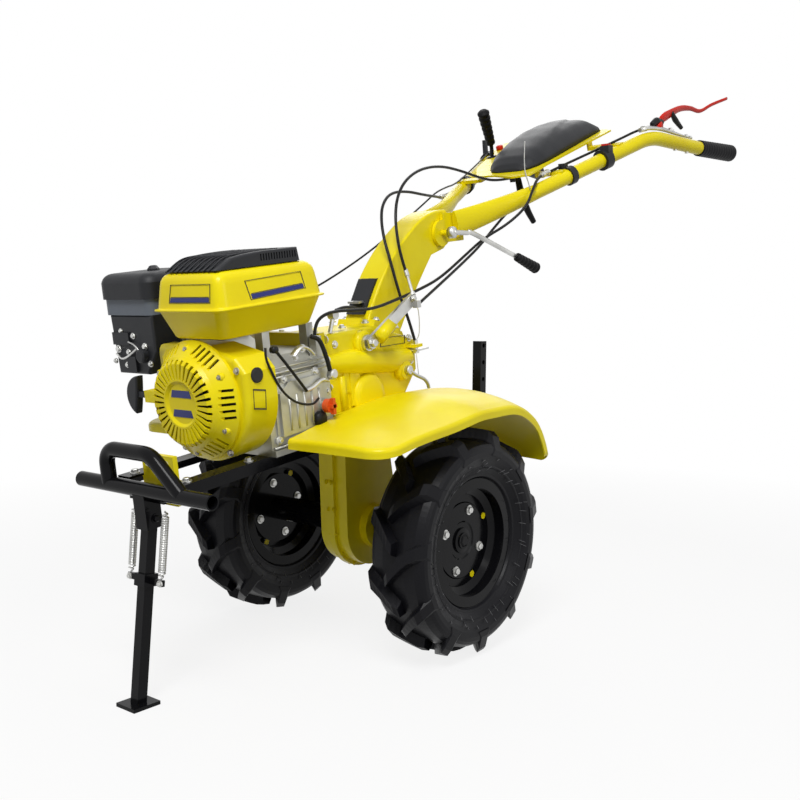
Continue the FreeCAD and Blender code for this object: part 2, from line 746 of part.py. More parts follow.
def make_recoil():
    """A spun cover with radial slots in its crown and groups of louvres down its skirt."""
    body = new_body("recoil_starter")
    skirt, crown, cap = S.recoil_radius, S.recoil_ring_radius, S.recoil_cap_radius
    deep = S.recoil_front - S.fan_front
    wall = S.recoil_wall
    sketch = new_sketch(body, "recoil_section", "xz")
    outline(sketch, (0, skirt), (5, skirt), (deep - 12, crown + 5), (deep - 4, crown),
            (deep, crown - 5), (deep, cap + 5), (deep - 4, cap), (deep - 4, 0),
            (deep - 4 - wall, 0), (deep - 4 - wall, cap + 1), (deep - wall, cap + 6),
            (deep - wall, crown - 7), (deep - 14 - wall / 2, crown + 1),
            (5, skirt - 1.5 * wall), (0, skirt - 1.5 * wall))
    revolve(body, "recoil_turned", sketch, "H_Axis")
    padded_outline(body, "rope_outlet", "yz", 6, deep - 10, (-skirt - 5, -5), (-skirt + 24, -5),
                   (-skirt + 24, 15), (-skirt - 5, 15))
    slot = new_sketch(body, "recoil_slot_outline", "yz", deep)
    outline(slot, (cap + 8, -1.3), (crown + 1, -2.6), (crown + 1, 2.6), (cap + 8, 1.3))
    vent = extrude(body, "Pocket", "recoil_slot", slot, 8)
    polar(body, "recoil_slots", vent, "X_Axis", S.recoil_slots)
    group = new_sketch(body, "louvre_outlines", "yz", deep)
    turn = as_size(-120)
    for place in LOUVRES:
        inner, outer = crown + 6, skirt - 3 - abs(place) / 9
        corners = ((inner, place - 2.4), (outer, place - 2.4), (outer, place + 2.4),
                   (inner, place + 2.4))
        outline(group, *[(reach * cosine(turn) - rise * sine(turn),
                          reach * sine(turn) + rise * cosine(turn)) for reach, rise in corners])
    louvres = extrude(body, "Pocket", "louvre_group", group, deep - 3)
    ring_of = polar(body, "louvre_groups", louvres, "X_Axis", as_size(5))
    ring_of.Angle = 240
    seat(body, x=S.fan_front, z=CRANK_Z)


def make_starter_grip():
    """A crescent handle that hangs at the rope outlet."""
    body = new_body("starter_grip")
    outlet = -S.recoil_radius - 5
    low, high = S.recoil_front - 28, S.recoil_front - 12
    padded_outline(body, "grip_crescent", "yz", low, high,
                   (outlet - 20, CRANK_Z + 38), (outlet - 54, CRANK_Z + 8, "through"),
                   (outlet - 34, CRANK_Z - 28), (outlet - 25, CRANK_Z + 6, "through"))
    soften(body, "grip_crescent_edges", 4,
           lambda edge: lies_at("x", low)(edge) or lies_at("x", high)(edge))
    padded_outline(body, "grip_neck", "yz", low + 4, high - 4, (outlet - 34, CRANK_Z + 1),
                   (outlet, CRANK_Z + 1), (outlet, CRANK_Z + 11), (outlet - 34, CRANK_Z + 11))
    seat(body)


def make_tank():
    """Two lofted shells on a seam flange, and the moulded cover let over the top."""
    body = new_body("fuel_tank")

    def level(name, height, inset, corner):
        sketch = new_sketch(body, name, "xy", height)
        outline(sketch, *rounded_rectangle(S.tank_back + inset, S.tank_front - inset,
                                           inset - S.tank_right, S.tank_left - inset, corner))
        return sketch
    corner = S.tank_corner
    seam = [level("tank_bottom_level", TANK_LOW, 14, corner - 12),
            level("tank_seam_low", TANK_SEAM, 0, corner)]
    loft(body, "tank_lower_shell", seam)
    upper = [level("tank_seam_high", TANK_SEAM, 0, corner),
             level("tank_brow", TANK_TOP - 10, 9, corner - 4),
             level("tank_top_level", TANK_TOP, 19, corner - 10)]
    loft(body, "tank_upper_shell", upper)
    rim = level("tank_flange_outline", TANK_SEAM - 1.5, -5, corner + 5)
    extrude(body, "Pad", "tank_flange", rim, 3)
    seat(body)
    cover = new_body("tank_top_cover")
    high = TANK_TOP + S.tank_cover_height
    back, front = S.tank_back + 36, S.tank_front - 16
    low_y, high_y = 18 - S.tank_right, S.tank_left - 18
    padded_outline(cover, "tank_cover_pad", "xz", low_y, high_y,
                   (back, TANK_TOP), (front, TANK_TOP), (front - 34, high - 6),
                   (front - 70, high - 2, "through"), (front - 110, high), (back + 4, high))
    soften(cover, "tank_cover_edges", 4,
           lambda edge: (lies_at("y", low_y)(edge) or lies_at("y", high_y)(edge))
           and edge.BoundBox.ZMax > float(TANK_TOP) + 1)
    groove = new_sketch(cover, "tank_cover_groove_outline", "xz", -high_y)
    outline(groove, (back + 10, TANK_TOP + 7), (back + 12.6, TANK_TOP + 7),
            (back + 12.6, high - 5), (back + 10, high - 5))
    notch = extrude(cover, "Pocket", "tank_cover_groove", groove, 4, reverse=True)
    row = cover.newObject("PartDesign::LinearPattern", "tank_cover_grooves")
    row.Originals = [notch]
    row.Direction = ([item for item in cover.Origin.OriginFeatures if item.Role == "X_Axis"][0],
                     [""])
    row.Length = 78
    row.Occurrences = 14
    cover.Tip = row
    seat(cover)


def make_air_cleaner():
    """The cleaner's pan and domed cover, the control box under it and the silencer."""
    def level(body, name, height, inset, corner):
        sketch = new_sketch(body, name, "xy", height)
        outline(sketch, *rounded_rectangle(
            S.cleaner_back + inset, S.cleaner_front - inset,
            inset - S.cleaner_outer, -S.cleaner_inner - inset, as_size(corner)))
        return sketch
    base = new_body("air_cleaner_base")
    extrude(base, "Pad", "cleaner_base_pad",
            level(base, "cleaner_base_outline", CLEANER_FLOOR, 5, 18),
            CLEANER_SEAM - CLEANER_FLOOR)
    seat(base)
    cover = new_body("air_cleaner_cover")
    shoulder = CLEANER_TOP - 16
    extrude(cover, "Pad", "cleaner_cover_pad",
            level(cover, "cleaner_cover_outline", CLEANER_SEAM, 0, 24), shoulder - CLEANER_SEAM)
    loft(cover, "cleaner_cover_dome", [level(cover, "cleaner_shoulder", shoulder, 0, 24),
                                       level(cover, "cleaner_brow", CLEANER_TOP - 5, 6, 20),
                                       level(cover, "cleaner_crown", CLEANER_TOP, 18, 12)])
    seat(cover)
    body = new_body("carburettor_box")
    back, front = S.crankcase_front - 4, S.cleaner_front - 6
    padded_outline(body, "carburettor_panel", "yz", back, front,
                   (-S.cleaner_outer + 20, CLEANER_FLOOR), (-S.cleaner_outer + 28, CRANK_Z + 31),
                   (-150, CRANK_Z + 31), (-122, CRANK_Z + 71), (-122, CLEANER_FLOOR))
    soften(body, "carburettor_panel_edge", 5, lies_at("x", front))
    seat(body)
    silencer = new_body("exhaust_muffler")
    back, front = S.gearbox_front - 34, S.gearbox_front + 34
    padded_outline(silencer, "muffler_can", "yz", back, front, (-250, CRANK_Z + 41),
                   (-236, CRANK_Z + 29), (-134, CRANK_Z + 29), (-120, CRANK_Z + 41),
                   (-120, CRANK_Z + 119), (-134, CRANK_Z + 131), (-236, CRANK_Z + 131),
                   (-250, CRANK_Z + 119))
    soften(silencer, "muffler_rims", 10,
           lambda edge: lies_at("x", back)(edge) or lies_at("x", front)(edge))
    seat(silencer)


def make_dipstick():
    seat(round_bar("oil_dipstick", "xz", -S.crankcase_left - 26, 12, OIL_X, OIL_Z, 12))


# ---- front stand -----------------------------------------------------------------------

STAND_X = S.bumper_x - 6
STAND_Z = BAR_Z - S.bumper_radius - S.stand_pivot_drop
SPRING_Y = 38
COLLAR_DOWN = 98


def make_stand_bracket():
    half = S.stand_tube / 2
    deep = as_size(16)
    stop = half / cosine(S.stand_lean) + deep * sine(S.stand_lean) / cosine(S.stand_lean)
    low, high = STAND_Z - deep, BAR_Z - 6
    outer = box("bracket_channel", (STAND_X - half - 4, STAND_X + stop + S.gap + 4),
                (-half - 5, half + 5), (low, high))
    inner = box("bracket_slot", (STAND_X - half - 20, STAND_X + stop + S.gap),
                (-half - 1, half + 1), (low - 1, high - 14))
    ears = box("bracket_ears", (STAND_X - 4, STAND_X + 2), (-SPRING_Y - 5, SPRING_Y + 5),
               (high - 14, high - 4))
    saddle = rod("bracket_saddle", S.bumper_x, -SPRING_Y - 9, BAR_Z,
                 S.bumper_radius + S.snug, 2 * SPRING_Y + 18)
    pin = rod("bracket_pin_hole", STAND_X, -SPRING_Y, STAND_Z, S.stand_pin + 2 * S.snug,
              2 * SPRING_Y)
    seat(cut("stand_bracket", fuse("bracket_blank", outer, ears), inner, saddle, pin))


def make_stand():
    half = S.stand_tube / 2
    lean = S.stand_lean - S.nose_down
    along, up = chassis_point(STAND_X, STAND_Z)
    length = up / cosine(lean)
    leg = box("stand_leg", (-half, half), (-half, half), (-length + 4, half))
    foot = doc.addObject("Part::Box", "stand_foot")
    foot.setExpression("Length", S.stand_foot_length.text)
    foot.setExpression("Width", S.stand_foot_width.text)
    foot.setExpression("Height", S.stand_foot_wall.text)
    foot.Placement = Placement(Vector(0, 0, 0), Rotation(Vector(0, 1, 0), float(lean)))
    # the foot lies flat on the ground, so it turns back by the leg's own lean
    start = -S.stand_foot_length / 2
    foot_x = start * cosine(lean)
    foot_z = -length - start * sine(lean)
    foot.setExpression("Placement.Base.x", foot_x.text)
    foot.setExpression("Placement.Base.y", (-S.stand_foot_width / 2).text)
    foot.setExpression("Placement.Base.z", foot_z.text)
    foot.setExpression("Placement.Rotation.Angle", lean.text)
    collar = box("stand_collar", (-half - 4, half + 4), (-half - 4, half + 4),
                 (-COLLAR_DOWN - 10, -COLLAR_DOWN + 10))
    lugs = box("stand_lugs", (-3, 3), (-SPRING_Y - 5, SPRING_Y + 5),
               (-COLLAR_DOWN - 5, -COLLAR_DOWN + 5))
    pin = rod("stand_pivot_pin", 0, -half - 7, 0, S.stand_pin, 2 * half + 14)
    seat(fuse("front_stand", leg, foot, collar, lugs, pin), x=STAND_X, z=STAND_Z,
         lean=S.stand_lean)


def make_stand_springs():
    low = -COLLAR_DOWN + 5 + S.gap
    coils = [rod("stand_spring_%d" % number, 0, side * SPRING_Y, low, 5, COLLAR_DOWN + 10,
                 along="z") for number, side in enumerate((1, -1), start=1)]
    seat(fuse("stand_springs", *coils), x=STAND_X, z=STAND_Z, lean=S.stand_lean)


# ---- fenders ---------------------------------------------------------------------------

FENDER_ARC = ((97, 35, 1), (108, 41, 1), (117, 50, 0.95), (126, 55, 0.85), (135, 56, 0.7),
              (143, 51, 0.6), (150, 44, 0.5), (156, 35, 0.45))


def fender_stations():
    """Points of the fender's outer edge from front to rear: level over the tyre, then an
    arc behind it given by angle and clearance, each with its share of the crown."""
    level = float(FENDER_TOP)
    front = float(S.fender_front)
    stations = [(Vector(front, 0, level - 2), 0.15), (Vector(front - 70, 0, level), 0.45),
                (Vector(front - 150, 0, level + 1), 0.75), (Vector(40, 0, level + 2), 0.95)]
    for angle, clearance, share in FENDER_ARC:
        reach = float(FENDER_TOP - S.fender_rise) + clearance
        turn = math.radians(angle)
        stations.append((Vector(reach * math.cos(turn), 0, reach * math.sin(turn)), share))
    return stations


def fender_block(inset, depth, tail):
    """A crowned block along the fender, its top lowered and its outline drawn in by an inset."""
    stations = fender_stations()
    spots = [spot for spot, _ in stations]
    inner = float(S.gearbox_half_width + S.snug)
    outer = float(S.fender_outer)
    ways = [(after - before).normalize() for before, after in
            zip(spots[:1] + spots[:-1], spots[1:] + spots[-1:])]
    spots[-1] = spots[-1] + ways[-1] * tail
    start, end = inner - 2 * inset, outer + 20
    sections = []
    for spot, way, (_, share) in zip(spots, ways, stations):
        up = Vector(way.z, 0, -way.x)
        crown = float(S.fender_crown) * share
        across = Part.Circle(Vector(inner, 0.3 * crown, 0), Vector((inner + outer) / 2, crown, 0),
                             Vector(outer, 0, 0))
        reach = across.Radius - inset

        def point(y, height=None):
            if height is None:
                height = across.Center.y + math.sqrt(reach ** 2 - (y - across.Center.x) ** 2)
            return spot + up * height + Vector(0, y, 0)
        top = [point(start), point((start + end) / 2), point(end)]
        low = [point(end, -depth), point(start, -depth)]
        sections.append(Part.Wire([
            Part.Arc(*top).toShape(), Part.LineSegment(top[2], low[0]).toShape(),
            Part.LineSegment(low[0], low[1]).toShape(), Part.LineSegment(low[1], top[0]).toShape()]))
    block = Part.makeLoft(sections, True, False)
    front, edge = float(S.fender_front) - 0.5 - inset, outer - inset
    corner = float(S.fender_corner) - inset
    bend = Vector(front - corner * (1 - ROOT_HALF), edge - corner * (1 - ROOT_HALF), 0)
    plan = Part.Wire([
        Part.LineSegment(Vector(-front - 200, 0, 0), Vector(-front - 200, edge, 0)).toShape(),
        Part.LineSegment(Vector(-front - 200, edge, 0), Vector(front - corner, edge, 0)).toShape(),
        Part.Arc(Vector(front - corner, edge, 0), bend, Vector(front, edge - corner, 0)).toShape(),
        Part.LineSegment(Vector(front, edge - corner, 0), Vector(front, 0, 0)).toShape(),
        Part.LineSegment(Vector(front, 0, 0), Vector(-front - 200, 0, 0)).toShape()])
    block = block.common(Part.Face(plan).extrude(Vector(0, 0, 3 * float(S.tyre_radius))))
    crest = max(block.Faces, key=lambda face: face.BoundBox.ZMax)
    rolled = [edge for edge in crest.Edges
              if edge.BoundBox.YMax > inner + 1 and edge.BoundBox.XMax > 0]
    return block.makeFillet(float(S.fender_roll) - inset, rolled)


def make_fenders():
    """A pressed sheet, crowned over the tyre, its rim turned down at the front and outside;
    the right one is its mirror image."""
    wall, lip = float(S.fender_wall), float(S.fender_lip)
    sheet_metal = fender_block(0, lip, 0).cut(fender_block(wall, lip + 10, 12))
    notch = Part.makeBox(200, float(S.crankcase_left - S.gearbox_half_width) + 12, 200,
                         Vector(float(S.gearbox_front) - 16, float(S.gearbox_half_width) - 2,
                                float(FENDER_TOP) - 82))
    rear = fender_stations()[-1][0]
    corner = Vector(rear.x - 20, float(S.fender_outer) - 26, rear.z + 26)
    trim = Part.makeBox(60, 40, 40, corner - Vector(0, 0, 40)).cut(
        Part.makeCylinder(26, 60, corner, Vector(1, 0, 0)))
    sheet_metal = sheet_metal.cut(notch).cut(trim)
    # a higher fender is notched round the gearbox snout and the oil filler
    for x, z, radius in ((SNOUT_X, SNOUT_Z, SNOUT_RADIUS), (OIL_X, OIL_Z, 13)):
        boss = Part.makeCylinder(radius + float(S.gap), float(S.crankcase_left) + 30,
                                 Vector(float(x), 0, float(z)), Vector(0, 1, 0))
        sheet_metal = sheet_metal.cut(boss)
    seat(free_piece("fender_left", sheet_metal))
    seat(free_piece("fender_right", sheet_metal.mirror(Vector(0, 0, 0), Vector(0, 1, 0))))


# ---- column and handlebars -------------------------------------------------------------

def bulge(start, end, along, up):
    """An arc's point: the middle of its ends, moved by the arc's bulge."""
    return (start[0] + end[0]) / 2 + along, (start[1] + end[1]) / 2 + up, "through"


FRONT_BULGE, REAR_BULGE = (23.5, 2.263636), (3.5, 1.445455)
COLUMN_FOOT = ((-34, roof(-34)), (-124, roof(-124)))
COLUMN_NECK = ((82 - S.hub_x, S.hub_z + 18), (32 - S.hub_x, S.hub_z - 42))
COLUMN_FRONT = (COLUMN_FOOT[0], bulge(COLUMN_FOOT[0], COLUMN_NECK[0], *FRONT_BULGE), COLUMN_NECK[0])


def column_face(height):
    """Just ahead of the column's front face, an arc through three points, at a height."""
    arc = Part.Circle(*[Vector(float(spot[0]), float(spot[1]), 0) for spot in COLUMN_FRONT])
    reach = math.sqrt(arc.Radius ** 2 - (height - arc.Center.y) ** 2)
    return arc.Center.x + reach + float(S.snug)


def make_column():
    """The curved box column on the gearbox roof, its flared foot and the panel on its face."""
    body = new_body("handle_column")
    half = S.column_half_width
    x, z = -S.hub_x, S.hub_z
    padded_outline(body, "column_arm", "xz", -half, half,
                   *COLUMN_FRONT,
                   (x + 30, z + 41, "through"), (x - 26, z + 47), (x - 36, z, "through"),
                   (x - 12, z - 32), COLUMN_NECK[1],
                   bulge(COLUMN_NECK[1], COLUMN_FOOT[1], *REAR_BULGE), COLUMN_FOOT[1])
    soften(body, "column_arm_edges", 4,
           lambda edge: on_sides(half)(edge) and edge.BoundBox.ZMin > float(S.hub_z))
    padded_outline(body, "column_foot", "xz", -half - 16, half + 16,
                   COLUMN_FOOT[0], (-40, roof(-34) + 12), (-118, roof(-124) + 12),
                   COLUMN_FOOT[1])
    bore = new_sketch(body, "column_bore_circle", "xz", -half)
    ring(bore, x, z, S.pivot_radius + S.gap)
    extrude(body, "Pocket", "column_bore", bore, 2 * half, reverse=True)
    seat(body)
    panel = new_body("column_box")
    low, high = float(GEARBOX_TOP) + 14, float(GEARBOX_TOP) + 78
    middle = (low + high) / 2
    padded_outline(panel, "column_box_pad", "xz", -24, 20, (column_face(low), low),
                   (column_face(low) + 8, low), (column_face(high) + 8, high),
                   (column_face(high), high), (column_face(middle), middle, "through"))
    seat(panel)


BAR_ROUTE = ((255, 113, 68), (620, 220, 177), (805, 260, 147), (937, 288, 131))


def from_hub(back, out, up):
    """A point behind, beside and above the middle of the handlebar hub."""
    return Vector(-float(S.hub_x) - back, out, float(S.hub_z) + up)


def bar_points(side):
    return [from_hub(back, side * out, up) for back, out, up in BAR_ROUTE]


def bar_tube(side, radius):
    """The round part of a handlebar, at any radius."""
    return swept_tube(bar_points(side), radius, 190)


def make_handlebar(name, side):
    """A pressed arm at the hub that tapers into the round bar."""
    tube, radii, _ = bar_tube(side, float(S.bar_radius))
    first, second = bar_points(side)[:2]
    way = (second - first).normalize()
    root = from_hub(34, side * (float(S.column_half_width) + 18.5), 15)
    middle = from_hub(140, side * (float(S.column_half_width) + 40), 36)
    sections = []
    for spot, turn, thick, tall in ((root, Vector(-1, side * 0.25, 0.15), 8, 28),
                                    (middle, Vector(-1, side * 0.33, 0.25), 12, 23),
                                    (first, way, float(S.bar_radius), float(S.bar_radius))):
        if thick < tall:
            curve = Part.Ellipse(Vector(0, 0, 0), tall, thick)
        else:
            curve = Part.Circle(Vector(0, 0, 0), Vector(0, 0, 1), thick)
        edge = curve.toShape()
        edge.Placement = Placement(spot, Rotation(Vector(0, 0, 1), Vector(0, 1, 0), turn, "ZXY"))
        sections.append(Part.Wire([edge]))
    arm = Part.makeLoft(sections, True, False)
    seat(free_piece(name, tube.fuse(arm)))
    print(name, "bend radii", [round(value) for value in radii])


HEAD_BOLT = S.column_half_width + 27


def make_handle_head():
    """Cheeks either side of the column, the bolt through them and the bridge behind."""
    x, z = -S.hub_x, S.hub_z
    half = S.column_half_width + 1
    parts = []
    for number, side in enumerate((1, -1)):
        start = half if side > 0 else -half - 8
        parts.append(rod("head_cheek_%d" % number, x, start, z, 27, 8))
        start_y = (half, half + 8) if side > 0 else (-half - 8, -half)
        parts.append(box("head_plate_%d" % number, (x - 74, x - 4), start_y,
                         (z - 20, z + 40)))
    parts.append(box("head_bridge", (x - 74, x - 48), (-half - 8, half + 8), (z - 16, z + 40)))
    parts.append(rod("head_bolt", x, -half - 14, z, S.pivot_radius, half + 14 + HEAD_BOLT))
    seat(fuse("handle_head", *parts))


def grip_shape(side):
    start, end = bar_points(side)[2:]
    way = (end - start).normalize()
    radius = float(S.grip_radius)
    bore = float(S.bar_radius) + float(S.snug)
    body = Part.makeCylinder(radius, float(S.grip_length), start - way * 4, way)
    body = body.makeFillet(8, [body.Edges[0], body.Edges[2]])
    hollow = Part.makeCylinder(bore, (end - start).Length + 5.5, start - way * 5, way)
    return body.cut(hollow)


def make_grips():
    seat(free_piece("handle_grips", Part.makeCompound([grip_shape(1), grip_shape(-1)])))


TRAY_BACK, TRAY_UP = 270, 109
TRAY_LEAN = as_size(-15.5)
# The tray's feet: how far back, the leg's and the bar's y, the bar's axis below the tray.
TRAY_FEET = ((60, 76, 137, 34), (250, 114, 190, 30.5))


def on_tray(shape):
    """Move a shape drawn on the tray, front edge at x = 0, to its place on the chassis."""
    shape.rotate(Vector(0, 0, 0), Vector(0, 1, 0), -float(TRAY_LEAN))
    shape.translate(from_hub(TRAY_BACK, 0, TRAY_UP))
    return shape


def make_console():
    """A sheet tray between the bars, its lugs lying on them, under a domed cover."""
    corners = ((28, 60), (20, 104), (-60, 104), (-338, 130), (-352, 108), (-352, -128),
               (-326, -170), (-90, -106), (-8, -56), (0, 0), (28, 60))
    rim = Part.makePolygon([Vector(x, y, 0) for x, y in corners])
    plate = on_tray(Part.Face(rim).extrude(Vector(0, 0, 4)))
    for back, foot, bar_y, axis_down in TRAY_FEET:
        low = 0.7 * float(S.bar_radius) - axis_down
        for side in (1, -1):
            leg = Part.makeBox(20, 5, -low, Vector(-back - 10, foot * side - 2.5, low))
            ends = sorted((foot * side, (bar_y + 6) * side))
            arm = Part.makeBox(20, ends[1] - ends[0], 8, Vector(-back - 10, ends[0], low))
            plate = plate.fuse([on_tray(leg), on_tray(arm)])
    for side in (1, -1):
        plate = plate.cut(bar_tube(side, float(S.bar_radius + S.snug))[0])
    for name in ("clutch_cable", "throttle_cable"):
        plate = plate.cut(cable_room(name))
    seat(free_piece("console_plate", plate))
    place = {"x": -S.hub_x - TRAY_BACK, "z": S.hub_z + TRAY_UP, "lean": TRAY_LEAN}
    cover = new_body("console_cover")
    stations = ((-4, 58, 26), (-50, 84, 49), (-130, 93, 61), (-215, 96, 62), (-300, 95, 53),
                (-342, 90, 34))
    sketches = []
    for number, (x, half, rise) in enumerate(stations):
        rib = new_sketch(cover, "console_section_%d" % number, "yz", x)
        outline(rib, (-half, 4.2), (half, 4.2), (half * 0.74, 4.2 + 0.66 * rise, "through"),
                (0, rise), (-half * 0.74, 4.2 + 0.66 * rise, "through"))
        sketches.append(rib)
    loft(cover, "console_dome", sketches)
    seat(cover, **place)


def bar_spot(along, side):
    """A point on the straight part of a handlebar, and the bar's direction."""
    first, second = bar_points(side)[:2]
    way = (second - first).normalize()
    return first + way * along, way


def bar_sleeve(spot, way, radius, length):
    """A ring round a handlebar, and the bore that leaves room for the bar."""
    outer = Part.makeCylinder(radius, length, spot - way * (length / 2), way)
    bore = Part.makeCylinder(float(S.bar_radius) + float(S.snug), 3 * length,
                             spot - way * (1.5 * length), way)
    return outer, bore


def cable_room(name):
    """The space that a cable needs where it passes a fitting."""
    radius = cable_radius(name) + float(S.snug)
    return swept_tube(CABLES[name], radius)[0]


def make_bar_fittings():
    """What clamps round the bars: switch, cable clips, throttle and clutch levers."""
    spot, way = bar_spot(228, 1)
    outer, bore = bar_sleeve(spot, way, 24, 22)
    knob = Part.makeBox(22, 22, 16, spot + Vector(-11, -4, 14))
    seat(free_piece("engine_stop_switch", outer.fuse(knob).cut(bore)))
    clips = []
    for side, names in ((1, ["clutch_cable"]), (-1, ["reverse_cable", "throttle_cable"])):
        spot, way = bar_spot(112, side)
        outer, bore = bar_sleeve(spot, way, 21, 16)
        if side > 0:
            outer = outer.fuse(Part.makeBox(16, 16, 16, spot + Vector(-8, -24, 12)))
        clip = outer.cut(bore)
        for name in names:
            clip = clip.cut(cable_room(name))
        clips += clip.Solids
    seat(free_piece("cable_clips", Part.makeCompound(clips)))
    spot, way = bar_spot(330, -1)
    outer, bore = bar_sleeve(spot, way, 24, 20)
    arm = Part.makeBox(10, 10, 40, spot + Vector(-5, -16, 14))
    lever = outer.fuse(arm).cut(bore).cut(cable_room("reverse_cable"))
    seat(free_piece("throttle_lever", lever.cut(cable_room("throttle_cable"))))
    clutch = swept_tube([from_hub(662, 224, 205), from_hub(712, 232, 223),
                         from_hub(792, 244, 243), from_hub(950, 272, 269)], 6)[0]
    mount = Part.makeBox(70, 30, 32, from_hub(694, 208, 177))
    whole = clutch.fuse(mount).cut(bar_tube(1, float(S.bar_radius) + float(S.snug))[0])
    seat(free_piece("clutch_hand_lever", whole.cut(cable_room("clutch_cable"))))


def make_shift_levers():
    """The gear lever on the tray's right lug, and the lock lever that hangs under it."""
    shift = on_tray(Part.makeCylinder(5, 34, Vector(-194, -122, 4.2), Vector(0, 0, 1)))
    start = on_tray(Part.Vertex(-194, -122, 30)).Point
    top = from_hub(397, -105, 267)
    rod_up = Part.makeCylinder(5, (top - start).Length, start, top - start)
    knob = Part.makeCylinder(12, 76, top, start - top)
    knob = knob.makeFillet(5, [knob.Edges[0], knob.Edges[2]])
    knee = Part.makeSphere(5, start)
    foot = on_tray(Part.makeBox(34, 16, 8, Vector(-211, -130, 4.2)))
    lever = shift.fuse([rod_up, knob, knee, foot])
    seat(free_piece("gear_shift_lever", lever))
    hanger = on_tray(Part.makeBox(30, 26, 12, Vector(-75, 10, -12.2)))
    drop, _, _ = swept_tube([from_hub(332, 22, 115), from_hub(345, 24, 55),
                             from_hub(383, 28, 0)], 6)
    stop = on_tray(Part.makeBox(14, 16, 40, Vector(-110, -25, -40.2)))
    lock = hanger.fuse(drop)
    seat(free_piece("lock_lever", lock))
    seat(free_piece("cable_stop", stop.cut(cable_room("gear_cable"))))


def make_clamp_lever():
    """The quick clamp on the hub bolt: a cam, a cranked rod and its grip."""
    x, z = float(S.hub_x), float(S.hub_z)
    out = float(HEAD_BOLT) + float(S.snug)
    cam = Part.makeCylinder(12, 14, Vector(-x, out, z), Vector(0, 1, 0))
    arm, _, _ = swept_tube([(-x, out + 8, z), (-x - 41, out + 14, z - 4),
                            (-x - 62, out + 18, z - 8), (-x - 185, out + 38, z - 65)], 5)
    knob = Part.makeCylinder(12, 92, Vector(-x - 179, out + 37, z - 62),
                             Vector(-0.91, 0.09, -0.4))
    knob = knob.makeFillet(5, [knob.Edges[0], knob.Edges[2]])
    seat(free_piece("handle_clamp_lever", cam.fuse(arm).fuse(knob)))


def make_gearbox_levers():
    """The clutch arm on its boss with its cable pin, and the small selector rod."""
    y = float(S.gearbox_half_width) + 12
    top = float(GEARBOX_TOP)
    pivot = Vector(22, y, top - 30)
    arm = Part.makeBox(160, 7, 22, Vector(-6, 0, -11))
    arm.rotate(Vector(0, 0, 0), Vector(0, 1, 0), 180 + 26)
    arm.translate(pivot + Vector(0, 7, 0))
    eye = Part.makeCylinder(15, 8, pivot + Vector(0, 0.2, 0), Vector(0, 1, 0))
    end = pivot + Vector(-130, 2, 64)
    pin = Part.makeCylinder(4, 14, end, Vector(0, 1, 0))
    block = Part.makeBox(12, 11, 13, pivot + Vector(-141, 13.5, 48))
    post, _, _ = swept_tube([(98, y - 18, top - 0.6), (94, y - 17, top + 12),
                             (88, y - 16, top + 30)], 4)
    ball = Part.makeCylinder(8, 14, Vector(88, y - 23, top + 30), Vector(0, 1, 0))
    levers = arm.fuse([eye, pin, block])
    seat(free_piece("gearbox_levers", Part.makeCompound([levers, post.fuse(ball)])))


# ---- rear hitch ------------------------------------------------------------------------

def make_hitch():
    """A bar behind the gear case that ends in an upright sleeve for the depth stake."""
    wall = 5
    room = STAKE_HALF + S.gap
    arm = box("hitch_bar", (0, HITCH_REACH), (-18, 18), (-14, 14))
    sleeve = box("hitch_sleeve", (-room - wall, room + wall), (-room - wall, room + wall),
                 (-38, 34))
    slot = box("hitch_slot", (-room, room), (-room, room), (-50, 50))
    pin = rod("hitch_pin_hole", 0, -30, 24, 5, 60)
    seat(cut("rear_hitch", fuse("hitch_blank", arm, sleeve), slot, pin),
         x=as_size(STAKE_X), z=as_size(STAKE_Z), lean=S.nose_down)
    bar = box("stake_bar", (-STAKE_HALF, STAKE_HALF), (-STAKE_HALF, STAKE_HALF), (-176, 186))
    holes = [rod("stake_hole_%d" % number, 0, -20, 24 + 38 * number, 5, 40)
             for number in range(-5, 5)]
    seat(cut("depth_stake", bar, *holes), x=as_size(STAKE_X), z=as_size(STAKE_Z),
         lean=S.nose_down)


# ---- cables ----------------------------------------------------------------------------

CABLES = {
    "reverse_cable": [(-846, -224, 694), (-640, -163.5, 636), (-552, -141, 623.5),
                      (-482, -106, 619), (-420, -72, 621), (-352, -52, 626),
                      (-275, -40, 636), (-207, -28, 634), (-159, -12, 611), (-133, 4, 580),
                      (-118, 20, 545), (-112, 36, 505), (-108, 50, 462), (-109, 60, 423),
                      (-114, 71, 384), (-119, 78, 341)],
    "gear_cable": [(-654, -17, 651), (-588, -18, 645), (-520, -21, 656), (-454, -24, 673),
                   (-366, -14, 684), (-276, 0, 678), (-208, 12, 656), (-166, 22, 624),
                   (-143, 32, 586), (-132, 42, 547), (-129, 50, 510), (-132, 58, 477)],
    "clutch_cable": [(165, 82, 399.3), (161, 82, 418), (141, 83, 431), (106, 83, 434),
                     (52, 82, 428), (-6, 78, 424), (-89, 71, 433), (-161, 66, 442),
                     (-235, 62, 456), (-330, 58, 492), (-400, 62, 524), (-448, 96, 550),
                     (-480, 126, 584), (-506, 128, 620), (-548, 116, 644),
                     (-604, 114, 656), (-737, 153, 695), (-818, 178, 719),
                     (-884, 204, 742), (-930, 214, 748)],
    "lock_cable": [(-119.8, 93, 419), (-220, 73, 446), (-329, 58, 481), (-404, 49, 508),
                   (-463, 43, 537), (-526, 39, 568), (-563, 36, 581), (-600, 31, 586),
                   (-629, 27.5, 582.7)],
    "throttle_cable": [(290.8, -130, 448), (262, -116, 448), (225, -98, 444),
                       (150, -80, 441), (70, -74, 447), (-15, -67, 466), (-172, -61, 520),
                       (-300, -63, 578), (-385, -73, 611), (-438, -84, 630),
                       (-503, -100, 641), (-560, -118, 646), (-650, -145, 668),
                       (-844, -202, 726)],
}


